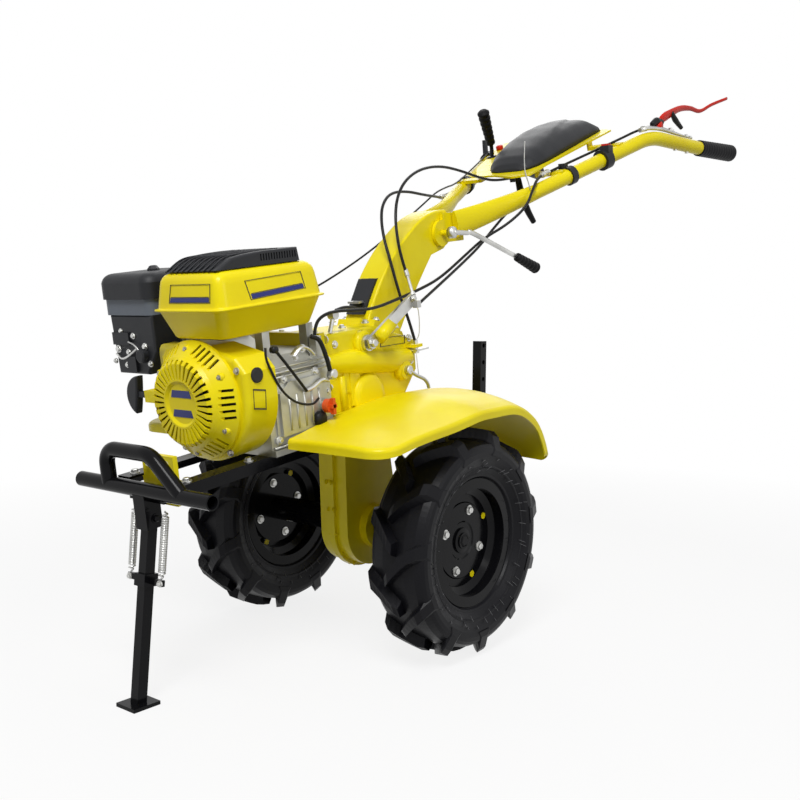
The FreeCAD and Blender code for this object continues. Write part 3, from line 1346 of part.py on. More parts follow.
def cable_radius(name):
    return float(S.wire_radius if name == "throttle_cable" else S.cable_radius)


def make_cables():
    for name, points in CABLES.items():
        radius = cable_radius(name)
        tube, radii, length = swept_tube(points, radius)
        full = math.pi * radius ** 2 * length
        print(name, "length", round(length), "smallest radius", round(min(radii)),
              "volume ratio %.4f" % (tube.Volume / full))
        if name == "gear_cable":
            tube = tube.fuse(wire_end(Vector(*points[-2]), Vector(*points[-1])))
        seat(free_piece(name, tube))


def wire_end(before, end):
    """The ferrule at the end of the sheath, and the bare wire to the clutch arm's pin."""
    ferrule = Part.makeCylinder(4.5, 18, end, end - before)
    tip = end + (end - before).normalize() * 16
    pin = Vector(-108.6, 78.5, 433.6)
    wire = Part.makeCylinder(float(S.core_radius), (pin - tip).Length, tip, pin - tip)
    return ferrule.fuse(wire)


def make_all():
    for name, side in (("left", 1), ("right", -1)):
        make_tyre("tyre_" + name, side)
        make_rim("wheel_rim_" + name, side)
        make_rail("frame_rail_" + name, side)
        make_handlebar("handlebar_" + name, side)
    make_fenders()
    make_grips()
    make_axle()
    make_gear_case()
    make_gearbox()
    make_front_frame()
    make_crankcase()
    make_cylinder()
    make_fan_housing()
    make_recoil()
    make_starter_grip()
    make_tank()
    make_air_cleaner()
    make_dipstick()
    make_stand_bracket()
    make_stand()
    make_stand_springs()
    make_column()
    make_handle_head()
    make_console()
    make_bar_fittings()
    make_shift_levers()
    make_clamp_lever()
    make_gearbox_levers()
    make_hitch()
    make_cables()


make_all()
doc.recompute()

broken = [item.Label for item in doc.Objects if "Invalid" in item.State or "Error" in item.State]
if broken:
    raise SystemExit("these objects failed: " + ", ".join(broken))

os.makedirs("parts", exist_ok=True)
whole = FreeCAD.BoundBox()
for node in NODES:
    shape = node.Shape
    if shape.isNull() or not shape.isValid() or not shape.Solids:
        raise SystemExit("this piece has no valid shape: " + node.Label)
    shape.exportStep("parts/%s.step" % node.Label)
    whole.add(shape.BoundBox)

for name, x, z in (("axle", 0, 0), ("stand pivot", STAND_X, STAND_Z),
                   ("handlebar hub", -S.hub_x, S.hub_z)):
    spot = chassis_point(as_size(x), as_size(z))
    print(name, "at", [round(float(value), 2) for value in spot])
print("box", [round(value, 1) for value in
              (whole.XMin, whole.XMax, whole.YMin, whole.YMax, whole.ZMin, whole.ZMax)])
print(len(NODES), "pieces")
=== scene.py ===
"""Walk-behind power weeder: paint, castings, tread, springs, cables and small trim put
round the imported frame.  Pieces are drawn in chassis millimetres and moved by chassis();
the tyres, the studio and the camera are in metres."""
import json
import math

import bpy
import numpy as np
from mathutils import Matrix


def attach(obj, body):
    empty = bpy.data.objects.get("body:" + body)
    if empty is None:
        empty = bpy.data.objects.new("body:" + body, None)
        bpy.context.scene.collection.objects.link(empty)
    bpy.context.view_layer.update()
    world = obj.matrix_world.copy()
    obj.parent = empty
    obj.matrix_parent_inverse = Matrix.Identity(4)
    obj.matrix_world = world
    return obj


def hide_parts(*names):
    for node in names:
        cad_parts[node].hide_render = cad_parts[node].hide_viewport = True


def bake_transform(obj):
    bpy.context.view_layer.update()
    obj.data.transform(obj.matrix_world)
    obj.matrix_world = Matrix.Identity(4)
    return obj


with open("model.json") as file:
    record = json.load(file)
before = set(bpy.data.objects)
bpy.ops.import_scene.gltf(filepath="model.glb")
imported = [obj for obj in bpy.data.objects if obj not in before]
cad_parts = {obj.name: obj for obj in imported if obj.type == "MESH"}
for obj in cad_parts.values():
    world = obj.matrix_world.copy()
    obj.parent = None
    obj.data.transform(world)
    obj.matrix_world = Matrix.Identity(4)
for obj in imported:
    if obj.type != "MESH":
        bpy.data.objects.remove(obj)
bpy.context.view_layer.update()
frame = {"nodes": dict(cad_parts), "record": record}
record = frame["record"]
joints = {joint["name"]: joint for joint in record["behaviour"]["joints"]}

AXLE = np.array(joints["axle_spin"]["pos_m"], float)
NOSE_DOWN = math.radians(7.8)
CRANK = np.array([362.0, 0.0, 321.0])       # the recoil starter's centre, chassis mm
PIVOT = np.array([489.0, 0.0, 157.0])       # the stand's pivot, chassis mm
FRONT, BACK, LEFT, RIGHT, UP, DOWN = np.array([(1, 0, 0), (-1, 0, 0), (0, 1, 0), (0, -1, 0),
                                               (0, 0, 1), (0, 0, -1)])
SIDES = (1, -1)                             # left and right, as signs of y


# ---- where things are ---------------------------------------------------------------------

def chassis(points):
    """Chassis millimetres to metres of the frame: the chassis is turned nose-down about
    the axle, so x' = x cos a + z sin a and z' = z cos a - x sin a, then moved to the axle."""
    x, y, z = np.moveaxis(np.asarray(points, float) / 1000, -1, 0)
    c, s = math.cos(NOSE_DOWN), math.sin(NOSE_DOWN)
    return np.stack([x * c + z * s, y, z * c - x * s], axis=-1) + AXLE


def unit(vectors):
    """Each vector over its own length."""
    return vectors / np.linalg.norm(vectors, axis=-1, keepdims=True)


# ---- meshes -------------------------------------------------------------------------------

def build(name, vertices, groups, body, finish, smooth=True):
    """A mesh object from an (n, 3) array of corners and a list of face arrays."""
    mesh = bpy.data.meshes.new(name)
    faces = sum((np.asarray(group).tolist() for group in groups), [])
    mesh.from_pydata(np.asarray(vertices, float).reshape(-1, 3).tolist(), [], faces)
    mesh.polygons.foreach_set("use_smooth", [smooth] * len(mesh.polygons))
    mesh.update()
    piece = bpy.data.objects.new(name, mesh)
    bpy.context.collection.objects.link(piece)
    mesh.materials.append(finish)
    if body:
        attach(piece, body)
    return piece


def merge(parts):
    """One corner array and one list of face arrays from many, their numbers shifted along."""
    corners, groups, count = [], [], 0
    for vertices, own in parts:
        vertices = np.asarray(vertices, float).reshape(-1, 3)
        corners.append(vertices)
        groups += [np.asarray(group) + count for group in own]
        count += len(vertices)
    return np.concatenate(corners), groups


def grid_faces(rows, columns, closed_rows=False):
    """Quads of a rows by columns grid of corners numbered row by row.  Each row is a closed
    ring, and the last row may join the first."""
    r = np.arange(rows if closed_rows else rows - 1)
    r, c = [axis.ravel() for axis in np.meshgrid(r, np.arange(columns), indexing="ij")]
    r2, c2 = (r + 1) % rows, (c + 1) % columns
    return np.stack([r * columns + c, r * columns + c2, r2 * columns + c2, r2 * columns + c],
                    axis=1)


def ring_faces(rings, sides):
    """The skin of a stack of rings, and a cap on its first and its last ring."""
    ring = np.arange(sides)
    caps = np.array([ring[::-1], (rings - 1) * sides + ring])
    return [grid_faces(rings, sides), caps]


def tube_mesh(path, radius, sides=12, flat=1.0):
    """A bar along a path.  A ring's corners are p + r (f n cos t + b sin t), where n is the
    level way across the path, b stands on both, r may change along the path and f is how
    flat the bar is."""
    path = np.asarray(path, float)
    radius = np.broadcast_to(np.asarray(radius, float), len(path))[:, None, None]
    way = unit(np.gradient(path, axis=0))
    nearly_up = np.array([0.13, 0.2, 1.0])
    across = unit(np.cross(way, nearly_up))
    above = np.cross(across, way)
    turn = np.linspace(0, 2 * math.pi, sides, endpoint=False)
    rings = path[:, None] + radius * (flat * across[:, None] * np.cos(turn)[None, :, None]
                                      + above[:, None] * np.sin(turn)[None, :, None])
    return rings.reshape(-1, 3), [group[:, ::-1] for group in ring_faces(len(path), sides)]


def turned(start, way, profile, sides):
    """A turned solid.  The ring of a profile row (a, r) has corners
    start + w a + r (u cos t + v sin t), where w is the axis and u, v span the plane across."""
    way = unit(np.asarray(way, float))
    u = unit(np.cross(way, [0.0, 0.0, 1.0] if abs(way[2]) < 0.9 else [1.0, 0.0, 0.0]))
    v = np.cross(way, u)
    turn = np.linspace(0, 2 * math.pi, sides, endpoint=False)
    along, radius = np.array(profile, float).T
    rings = (np.asarray(start, float) + way * along[:, None, None]
             + radius[:, None, None] * (u * np.cos(turn)[:, None] + v * np.sin(turn)[:, None]))
    return rings.reshape(-1, 3), ring_faces(len(along), sides)


def prism(outline, start, end):
    """A flat outline of (y, z), carried straight along x from start to end."""
    rings = [np.column_stack([np.full(len(outline), x), outline]) for x in (start, end)]
    return np.stack(rings), ring_faces(2, len(outline))


BOX_FACES = [np.array([[3, 2, 1, 0], [4, 5, 6, 7], [0, 1, 5, 4], [1, 2, 6, 5], [2, 3, 7, 6],
                       [3, 0, 4, 7]])]


def block(low, high):
    """A box between two corners."""
    x, y, z = np.stack([np.asarray(low, float), np.asarray(high, float)]).T
    foot = [(x[0], y[0]), (x[1], y[0]), (x[1], y[1]), (x[0], y[1])]
    return np.array([(*corner, level) for level in z for corner in foot]), BOX_FACES


def patch(corners, across, up, lift=0.5):
    """A thin block on a four-cornered surface: each corner is the bilinear mean of the
    surface's corners at the two shares, and the block rises by the lift along the normal."""
    p = np.asarray(corners, float)
    normal = unit(np.cross(p[1] - p[0], p[3] - p[0]))
    s = np.array([across[0], across[1], across[1], across[0]])[:, None]
    t = np.array([up[0], up[0], up[1], up[1]])[:, None]
    flat = (p[0] * (1 - s) + p[1] * s) * (1 - t) + (p[3] * (1 - s) + p[2] * s) * t
    sunk = 0.3
    return np.concatenate([flat - sunk * normal, flat + lift * normal]), BOX_FACES


def border(corners, edge, lift=0.4):
    """Four thin strips just inside the outline of a four-cornered surface."""
    return [patch(corners, across, up, lift) for across, up in (
        ((0, 1), (0, 2 * edge)), ((0, 1), (1 - 2 * edge, 1)), ((0, edge), (0, 1)),
        ((1 - edge, 1), (0, 1)))]


def bolt(start, way, size):
    """A washer under a chamfered hexagon head whose corners stand the size from its axis."""
    start = np.asarray(start, float)
    washer = [(-1, 1.45 * size), (0.25 * size, 1.4 * size)]
    head = [(0.2 * size, size), (0.9 * size, size), (1.05 * size, 0.82 * size)]
    return [turned(start, way, washer, 18), turned(start, way, head, 6)]


def bolts(spots, way, size):
    """The same bolt at several places."""
    return sum([bolt(spot, way, size) for spot in spots], [])


def bolts_both_sides(spots, y, size):
    """The same bolt at places (x, z) on a left wall and on the right wall across from it."""
    return sum([bolts([(x, y * hand, z) for x, z in spots], (0, hand, 0), size)
                for hand in SIDES], [])


def curved(points, radius, sides=12, flat=1.0):
    """A tube along a smooth curve: between two points the path follows the Catmull-Rom
    blend of the four nearest points, and a list of radii is spread along it."""
    p = np.asarray(points, float)
    p = np.concatenate([2 * p[:1] - p[1:2], p, 2 * p[-1:] - p[-2:-1]])
    t = np.linspace(0, 1, 10, endpoint=False)[:, None]
    a, b, c, d = p[:-3, None], p[1:-2, None], p[2:-1, None], p[3:, None]
    path = 0.5 * (2 * b + (c - a) * t + (2 * a - 5 * b + 4 * c - d) * t ** 2
                  + (3 * b - a - 3 * c + d) * t ** 3)
    path = np.concatenate([path.reshape(-1, 3), p[-2:-1]])
    if np.ndim(radius):
        radius = np.interp(np.linspace(0, 1, len(path)), np.linspace(0, 1, len(radius)), radius)
    return tube_mesh(path, radius, sides, flat)


def spline_points(name, points):
    """Points read from the NURBS spline that has the route's points as control points."""
    curve = bpy.data.curves.new(name + "_route", "CURVE")
    curve.dimensions = "3D"
    curve.resolution_u = 10
    spline = curve.splines.new("NURBS")
    spline.points.add(len(points) - 1)
    weighted = np.concatenate([points, np.ones((len(points), 1))], axis=1)
    spline.points.foreach_set("co", weighted.ravel())
    spline.order_u = 3
    spline.use_endpoint_u = True
    carrier = bpy.data.objects.new(name + "_route", curve)
    bpy.context.collection.objects.link(carrier)
    bpy.context.view_layer.update()
    mesh = bpy.data.meshes.new_from_object(carrier)
    found = np.empty(3 * len(mesh.vertices))
    mesh.vertices.foreach_get("co", found)
    bpy.data.objects.remove(carrier)
    bpy.data.curves.remove(curve)
    bpy.data.meshes.remove(mesh)
    return found.reshape(-1, 3)


def trim(name, parts, body, finish, smooth=True, replaces=None):
    """Merged parts drawn in chassis millimetres, riding on a body with a finish's slot."""
    vertices, groups = merge(parts)
    piece = build(name, chassis(vertices), groups, body, finish, smooth)
    if replaces:
        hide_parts(replaces)
    return piece


# ---- shader maths -------------------------------------------------------------------------

class Wire:
    """A node's output.  Arithmetic on number wires adds Math nodes to their own tree."""

    def __init__(self, nodes, socket):
        self.nodes, self.socket = nodes, socket

    def _math(self, operation, other):
        return self.nodes.node("ShaderNodeMath", {"operation": operation}, self, other)

    def __add__(self, other):
        return self._math("ADD", other)

    def __mul__(self, other):
        return self._math("MULTIPLY", other)

    def __or__(self, other):
        """Of two masks, the larger at each place."""
        return self._math("MAXIMUM", other)

    __radd__, __rmul__, __ror__ = __add__, __mul__, __or__


class Nodes:
    """A node tree being filled."""

    def __init__(self, tree):
        self.tree = tree

    def link(self, value, target):
        """A wire or a plain value into a socket."""
        if isinstance(value, Wire):
            self.tree.links.new(value.socket, target)
        else:
            target.default_value = value

    def node(self, kind, settings, *values, output=0, **named):
        """One node: its settings first, then its sockets by place or by name."""
        made = self.tree.nodes.new(kind)
        for key, value in settings.items():
            if key == "stops":
                ramp = made.color_ramp
                while len(ramp.elements) < len(value):
                    ramp.elements.new(0.5)
                for stop, (place, colour) in zip(ramp.elements, value):
                    stop.position, stop.color = place, colour
            else:
                setattr(made, key, value)
        for key, value in list(enumerate(values)) + list(named.items()):
            self.link(value, made.inputs[key])
        return Wire(self, made.outputs[output])

    def ray(self, kind):
        """1 for rays of a kind and 0 for all others."""
        return self.node("ShaderNodeLightPath", {}, output=kind)

    def seen(self):
        """1 for what the camera sees, straight on, by reflection or through something clear."""
        return self.ray("Is Camera Ray") | self.ray("Is Glossy Ray") | self.ray("Is Transmission Ray")

    def surface(self, shader, output):
        """A shader to the surface of the tree's output node."""
        self.link(shader, self.tree.nodes[output].inputs["Surface"])


class Finish(Nodes):
    """A material under construction: one Principled shader and the nodes that feed it."""

    def __init__(self, name, **sockets):
        self.material = bpy.data.materials.new(name)
        self.material.use_nodes = True
        super().__init__(self.material.node_tree)
        self.shader = self.tree.nodes["Principled BSDF"]
        for socket, value in sockets.items():
            self.feed(socket.replace("_", " "), value)

    def feed(self, socket, value):
        self.link(value, self.shader.inputs[socket])

    def place(self):
        """The point on the piece in its own coordinates."""
        return self.node("ShaderNodeTexCoord", {}, output="Object")

    def noise(self, scale, detail=3.0):
        return self.node("ShaderNodeTexNoise", {}, Vector=self.place(), Scale=scale, Detail=detail)

    def ramp(self, value, *stops):
        return self.node("ShaderNodeValToRGB", {"stops": stops}, value)

    def bump(self, height, strength, distance):
        self.feed("Normal", self.node("ShaderNodeBump", {}, Height=height, Strength=strength,
                                      Distance=distance))


def grey(level):
    """An opaque grey."""
    return (level, level, level, 1.0)


def darker(colour, share):
    """A colour with its red, green and blue brought down to a share of themselves."""
    return tuple(share * part for part in colour[:3]) + (1.0,)


# ---- finishes -----------------------------------------------------------------------------

def paint(name, colour, deep, roughness, shine=0.2):
    """Glossy stove enamel: a slight orange peel and a thin dark tone in patches."""
    f = Finish(name, Coat_Weight=0.08, Coat_Roughness=0.10, Specular_IOR_Level=shine)
    f.feed("Base Color", f.ramp(f.noise(9.0, 4.0), (0.3, deep), (0.62, colour)))
    f.feed("Roughness", f.noise(60.0) * 0.12 + (roughness - 0.06))
    f.bump(f.noise(420.0, 2.0), 0.06, 0.0006)
    return f.material


def plastic(name, colour, roughness, grain=900.0, shine=0.4):
    """Moulded plastic or rubber with a fine grain."""
    f = Finish(name, Specular_IOR_Level=shine)
    f.feed("Base Color", f.ramp(f.noise(14.0), (0.3, darker(colour, 0.8)), (0.7, colour)))
    f.feed("Roughness", f.noise(35.0) * 0.15 + (roughness - 0.07))
    f.bump(f.noise(grain, 2.0), 0.25, 0.0004)
    return f.material


def metal(name, colour, roughness, grain, depth=0.0005):
    """Bare or cast metal: grain in the bump and duller patches in the roughness."""
    f = Finish(name, Metallic=1.0)
    f.feed("Base Color", f.ramp(f.noise(25.0, 5.0), (0.3, darker(colour, 0.7)), (0.7, colour)))
    f.feed("Roughness", f.noise(40.0, 4.0) * 0.25 + (roughness - 0.12))
    f.bump(f.noise(grain, 4.0), 0.3, depth)
    return f.material


# The frame's own materials give way to these.
for imported in list(bpy.data.materials):
    bpy.data.materials.remove(imported)
YELLOW = paint("yellow_paint", (0.90, 0.76, 0.004, 1), (0.84, 0.68, 0.003, 1), 0.34)
BLACK = paint("black_paint", (0.005, 0.005, 0.006, 1), (0.004, 0.004, 0.005, 1), 0.16, 0.08)
RUBBER = plastic("tyre_rubber", (0.006, 0.006, 0.008, 1), 0.38, 260.0, 0.14)
CASTING = metal("cast_aluminium", (0.52, 0.52, 0.48, 1), 0.48, 260.0)
PLASTIC = plastic("black_plastic", (0.012, 0.013, 0.016, 1), 0.48, 900.0, 0.3)
GREY_PLASTIC = plastic("grey_plastic", (0.13, 0.15, 0.18, 1), 0.45)
ZINC = metal("bare_steel", (0.66, 0.66, 0.64, 1), 0.34, 500.0, 0.0002)
SILENCER = metal("muffler_steel", (0.42, 0.40, 0.37, 1), 0.5, 150.0)
RED = plastic("red_plastic", (0.74, 0.022, 0.008, 1), 0.34, 900.0, 0.2)
GRIP = plastic("grip_rubber", (0.006, 0.006, 0.007, 1), 0.5, 900.0, 0.12)
PLUG = plastic("oil_plug_plastic", (0.75, 0.10, 0.012, 1), 0.4)
SHEATH = plastic("cable_sheath", (0.008, 0.008, 0.008, 1), 0.38, 900.0, 0.2)
BLUE = plastic("stripe_blue", (0.012, 0.022, 0.19, 1), 0.35)
INK = plastic("label_ink", (0.05, 0.045, 0.02, 1), 0.4)
# The hairs are lighter grey than the tyre: partly dust on them, partly a painted sheen of their glossy
# rubber.
HAIR_DUST_AND_SHEEN = plastic("rubber_hair_dust_and_sheen", (0.09, 0.09, 0.095, 1), 0.4)
WHITE = plastic("strap_white", (0.62, 0.62, 0.6, 1), 0.4)
FINISHES = {m.name: m for m in (YELLOW, BLACK, RUBBER, CASTING, PLASTIC, GREY_PLASTIC, ZINC,
                                SILENCER, RED, GRIP, PLUG, SHEATH)}

for subpart in record["subparts"]:
    node = frame["nodes"][subpart["node"]]
    node.data.materials.clear()
    node.data.materials.append(FINISHES[subpart["material_slot"]])


# ---- cables -------------------------------------------------------------------------------

CABLES = {
    "reverse_cable": [(-846, -224, 694), (-640, -163.5, 636), (-552, -141, 623.5),
                      (-482, -106, 619), (-420, -72, 621), (-352, -52, 626),
                      (-275, -40, 636), (-207, -28, 634), (-159, -12, 611), (-133, 4, 580),
                      (-118, 20, 545), (-112, 36, 505), (-108, 50, 462), (-109, 60, 423),
                      (-114, 71, 384), (-119, 78, 341)],
    "gear_cable": [(-654, -17, 651), (-588, -18, 645), (-520, -21, 656), (-454, -24, 673),
                   (-366, -14, 684), (-276, 0, 678), (-208, 12, 656), (-166, 22, 624),
                   (-143, 32, 586), (-132, 42, 547), (-129, 50, 510), (-132, 58, 477)],
    "clutch_cable": [(165, 82, 399.3), (161, 82, 418), (141, 83, 431), (106, 83, 434),
                     (52, 82, 428), (-6, 78, 424), (-89, 71, 433), (-161, 66, 442),
                     (-235, 62, 456), (-330, 58, 492), (-400, 62, 524), (-448, 96, 550),
                     (-480, 126, 584), (-506, 128, 620), (-548, 116, 644),
                     (-604, 114, 656), (-737, 153, 695), (-818, 178, 719),
                     (-884, 204, 742), (-930, 214, 748)],
    "lock_cable": [(-119.8, 93, 419), (-220, 73, 446), (-329, 58, 481), (-404, 49, 508),
                   (-463, 43, 537), (-526, 39, 568), (-563, 36, 581), (-600, 31, 586),
                   (-629, 27.5, 582.7)],
    "throttle_cable": [(290.8, -130, 448), (262, -116, 448), (225, -98, 444),
                       (150, -80, 441), (70, -74, 447), (-15, -67, 466), (-172, -61, 520),
                       (-300, -63, 578), (-385, -73, 611), (-438, -84, 630),
                       (-503, -100, 641), (-560, -118, 646), (-650, -145, 668),
                       (-844, -202, 726)],
}
CABLE_RADIUS, THROTTLE_RADIUS = 0.003, 0.002

for name, route in CABLES.items():
    radius = THROTTLE_RADIUS if name == "throttle_cable" else CABLE_RADIUS
    vertices, groups = tube_mesh(spline_points(name, chassis(route)), radius)
    cable = build(name + "_sheath", vertices, groups, None, SHEATH)
    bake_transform(cable)
    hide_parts(name)


# ---- tyres --------------------------------------------------------------------------------

TYRE_MIDDLE = 235.5     # mm from the machine's middle to a tyre's
CARCASS_STEPS = 120
LUGS, LUG_STEPS = 11, 9


def carcass(middle):
    """A ring turned round the axle from a closed profile of (radius, y) in millimetres:
    x = r cos t and z = r sin t."""
    wall = np.array([(101.6, 33), (116, 33.5), (119, 36), (121, 40.5), (123, 41), (126, 41.2),
                     (130, 44), (136, 48), (138, 50.6), (140, 50.8), (142, 50.4), (150, 54.4),
                     (158, 56.8), (167, 57.3), (174, 56), (180, 52.5), (186, 42), (189, 22)])
    profile = np.concatenate([wall, [(189.5, 0)], wall[::-1] * [1, -1]]) / 1000
    radius, side = profile.T
    turn = np.linspace(0, 2 * math.pi, CARCASS_STEPS, endpoint=False)[:, None]
    ring = np.stack([radius * np.cos(turn), side + middle + 0 * turn, radius * np.sin(turn)],
                    axis=-1)
    skin = grid_faces(CARCASS_STEPS, len(side), closed_rows=True)
    return ring, [skin[:, ::-1]]


def lugs(middle, phase, hand):
    """The curved lugs of one side.  Along a lug s runs from 0 at the shoulder to 1 just past
    the crown, while its centre line comes in from the side and turns ahead with s^1.3.  Its
    section is a trapezium, with its foot in the carcass and a narrower crest, at two reaches
    from the axle.  All of it is in metres."""
    s = np.linspace(0, 1, LUG_STEPS)
    across = 0.0585 - 0.0665 * s
    ahead = -math.radians(17) * s ** 1.3
    foot = np.interp(s, [0, 0.12, 0.3, 1], [0.160, 0.176, 0.184, 0.187])
    crest = np.interp(s, [0, 0.10, 0.25, 0.9, 1], [0.170, 0.194, 0.205, 0.208, 0.205])
    foot_width = np.interp(s, [0, 0.3, 1], [0.017, 0.016, 0.014])
    crest_width = np.interp(s, [0, 0.3, 1], [0.010, 0.011, 0.009])
    pitch = 2 * math.pi / LUGS
    start = np.arange(LUGS) * pitch + phase + (0 if hand > 0 else pitch / 2)
    corners = []
    for reach, width in ((foot, foot_width), (crest, crest_width), (crest, -crest_width),
                         (foot, -foot_width)):
        angle = start[:, None] + ahead + width / reach
        corners.append(np.stack([reach * np.cos(angle), hand * across + middle + 0 * angle,
                                 reach * np.sin(angle)], axis=-1))
    one = np.concatenate(ring_faces(LUG_STEPS, 4))
    one = one[:, ::-1] if hand > 0 else one
    faces = one + 4 * LUG_STEPS * np.arange(LUGS)[:, None, None]
    return np.stack(corners, axis=2), [faces.reshape(-1, 4)]


for name, hand, first_lug in (("left", 1, 6), ("right", -1, 20)):
    middle, phase = hand * TYRE_MIDDLE / 1000, math.radians(first_lug)
    vertices, groups = merge([carcass(middle)] + [lugs(middle, phase, side) for side in SIDES])
    tyre = build("lugged_tyre_" + name, vertices + AXLE, groups, "wheels", RUBBER, smooth=False)
    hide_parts("tyre_" + name)


# ---- wheels -------------------------------------------------------------------------------

RIM_FACE = 243.0        # mm from the machine's middle to a disc's outer face
DISC_DEPTH = 11.5       # from that face to the inner one
WINDOW_CIRCLE, BOLT_CIRCLE = 77.5, 57.0
HAIRS = 54


def on_wheel(radius, degrees, y):
    """Points round the axle in chassis millimetres: x = r cos t and z = r sin t, at a side y."""
    turn = np.radians(degrees)
    return np.stack(np.broadcast_arrays(radius * np.cos(turn), y, radius * np.sin(turn)), axis=-1)


def quarters(radius, degrees, y):
    """Four points a quarter turn apart on a circle round the axle."""
    return on_wheel(radius, degrees + 90 * np.arange(4), y)


def whiskers(middle):
    """Thin rubber hairs left by the mould on both side walls of a tyre.  Angle and reach are
    even steps plus a sine of the hair's number, so that neighbours differ."""
    hair = np.arange(HAIRS)
    angles = hair * 360 / HAIRS + 3 * np.sin(hair * 5.0)
    reach = 138 + 9 * np.sin(hair * 2.3)
    parts = []
    for hand in SIDES:
        root = on_wheel(reach, angles, middle + hand * 49)
        tip = on_wheel(reach + 9, angles + 1.5, middle + hand * 59)
        parts += [tube_mesh([a, (a + b) / 2, b], 0.6, 4) for a, b in zip(root, tip)]
    return parts


def wheel_disc(hand):
    """The pressed steps of a disc's outer and inner face, turned from (depth, radius)."""
    outer = [(0, 85.5), (0.8, 84.5), (0.8, 71), (2.6, 69), (2.6, 36), (0.6, 33)]
    inner = [(0, 71), (1.4, 70), (1.4, 36), (0, 33)]
    return [turned((0, hand * (RIM_FACE - 0.2), 0), (0, hand, 0), outer, 72),
            turned((0, hand * (RIM_FACE - DISC_DEPTH), 0), (0, -hand, 0), inner, 72)]


def wheel_windows(hand):
    """Round holes that show the paint behind, as thin yellow discs on both faces."""
    hole = [(0, 6.2), (1.1, 6.2)]
    outside = quarters(WINDOW_CIRCLE, 71, hand * (RIM_FACE + 0.3))
    inside = quarters(WINDOW_CIRCLE, 35, hand * (RIM_FACE - DISC_DEPTH))
    return ([turned(spot, (0, hand, 0), hole, 20) for spot in outside]
            + [turned(spot, (0, -hand, 0), hole, 20) for spot in inside])


def wheel_bolts(hand, degrees):
    """Four bolts through a disc, with a head on each face."""
    return (bolts(quarters(BOLT_CIRCLE, degrees, hand * (RIM_FACE + 2.4)), (0, hand, 0), 6.5)
            + bolts(quarters(BOLT_CIRCLE, degrees, hand * (RIM_FACE - 13)), (0, -hand, 0), 6.5))


def axle_nut(hand):
    """A stepped washer under the nut on the axle's end."""
    return [turned((0, hand * RIM_FACE, 0), (0, hand, 0), [(0, 24), (4, 23), (5, 15)], 40),
            turned((0, hand * (RIM_FACE + 3), 0), (0, hand, 0), [(0, 12), (5, 12), (6.5, 9)], 6)]


for name, hand, first_bolt in (("left", 1, 28), ("right", -1, 80)):
    trim("tyre_whiskers_" + name, whiskers(hand * TYRE_MIDDLE), "wheels", HAIR_DUST_AND_SHEEN)
    trim("wheel_disc_" + name, wheel_disc(hand), "wheels", BLACK, smooth=False)
    trim("wheel_windows_" + name, wheel_windows(hand), "wheels", YELLOW, smooth=False)
    trim("wheel_bolts_" + name, wheel_bolts(hand, first_bolt), "wheels", ZINC, smooth=False)
    trim("axle_nut_" + name, axle_nut(hand), "wheels", BLACK, smooth=False)
    bead = on_wheel(98, 5.0 * np.arange(73), hand * (RIM_FACE + 4.5))
    trim("rim_beads_" + name, [tube_mesh(bead, 2.4, 8)], "wheels", BLACK)


# ---- front stand --------------------------------------------------------------------------

LEG_LEAN = math.radians(-13.0)
LEG = np.array([math.sin(LEG_LEAN), 0.0, math.cos(LEG_LEAN)])
SPRING_TOP, SPRING_FOOT = PIVOT + 14 * LEG, PIVOT - 91 * LEG
BESIDE_LEG = [np.array([0, 38 * hand, 0]) for hand in SIDES]


def coil(start, end, radius, turns, wire):
    """A helix between two points with its ends drawn in to hooks:
    p = start + s (end - start) + r (u cos 2 pi n s + v sin 2 pi n s)."""
    s = np.linspace(0, 1, turns * 10 + 1)
    way = unit(end - start)
    u = unit(np.cross(way, [0.0, 1.0, 0.2]))
    v = np.cross(way, u)
    reach = radius * np.interp(s, [0, 0.03, 0.97, 1], [0.1, 1, 1, 0.1])[:, None]
    share = np.interp(s, [0, 0.05, 0.95, 1], [0, 0.1, 0.9, 1])[:, None]
    angle = 2 * math.pi * turns * s[:, None]
    path = start + share * (end - start) + reach * (u * np.cos(angle) + v * np.sin(angle))
    return tube_mesh(path, wire, 6)


vertices, groups = merge([coil(SPRING_TOP + side, SPRING_FOOT + side, 5.0, 34, 1.4)
                          for side in BESIDE_LEG])
coils = build("stand_coils", chassis(vertices), groups, None, ZINC)
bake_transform(coils)
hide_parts("stand_springs")
trim("stand_bolts", bolts_both_sides([(489, 157)], 14, 5.5), "chassis", BLACK, smooth=False)
trim("spring_screws", bolts([PIVOT - 98 * LEG + [3, 0, 0] + side for side in BESIDE_LEG], FRONT, 4),
     "stand", ZINC, smooth=False)
trim("frame_bolts", bolts([(x, 65 * hand, 215) for x in (330, 460) for hand in SIDES], UP, 6)
     + bolts([(464, 24, 238), (464, -18, 238)], FRONT, 5), "chassis", ZINC, smooth=False)


# ---- fuel tank and labels -----------------------------------------------------------------

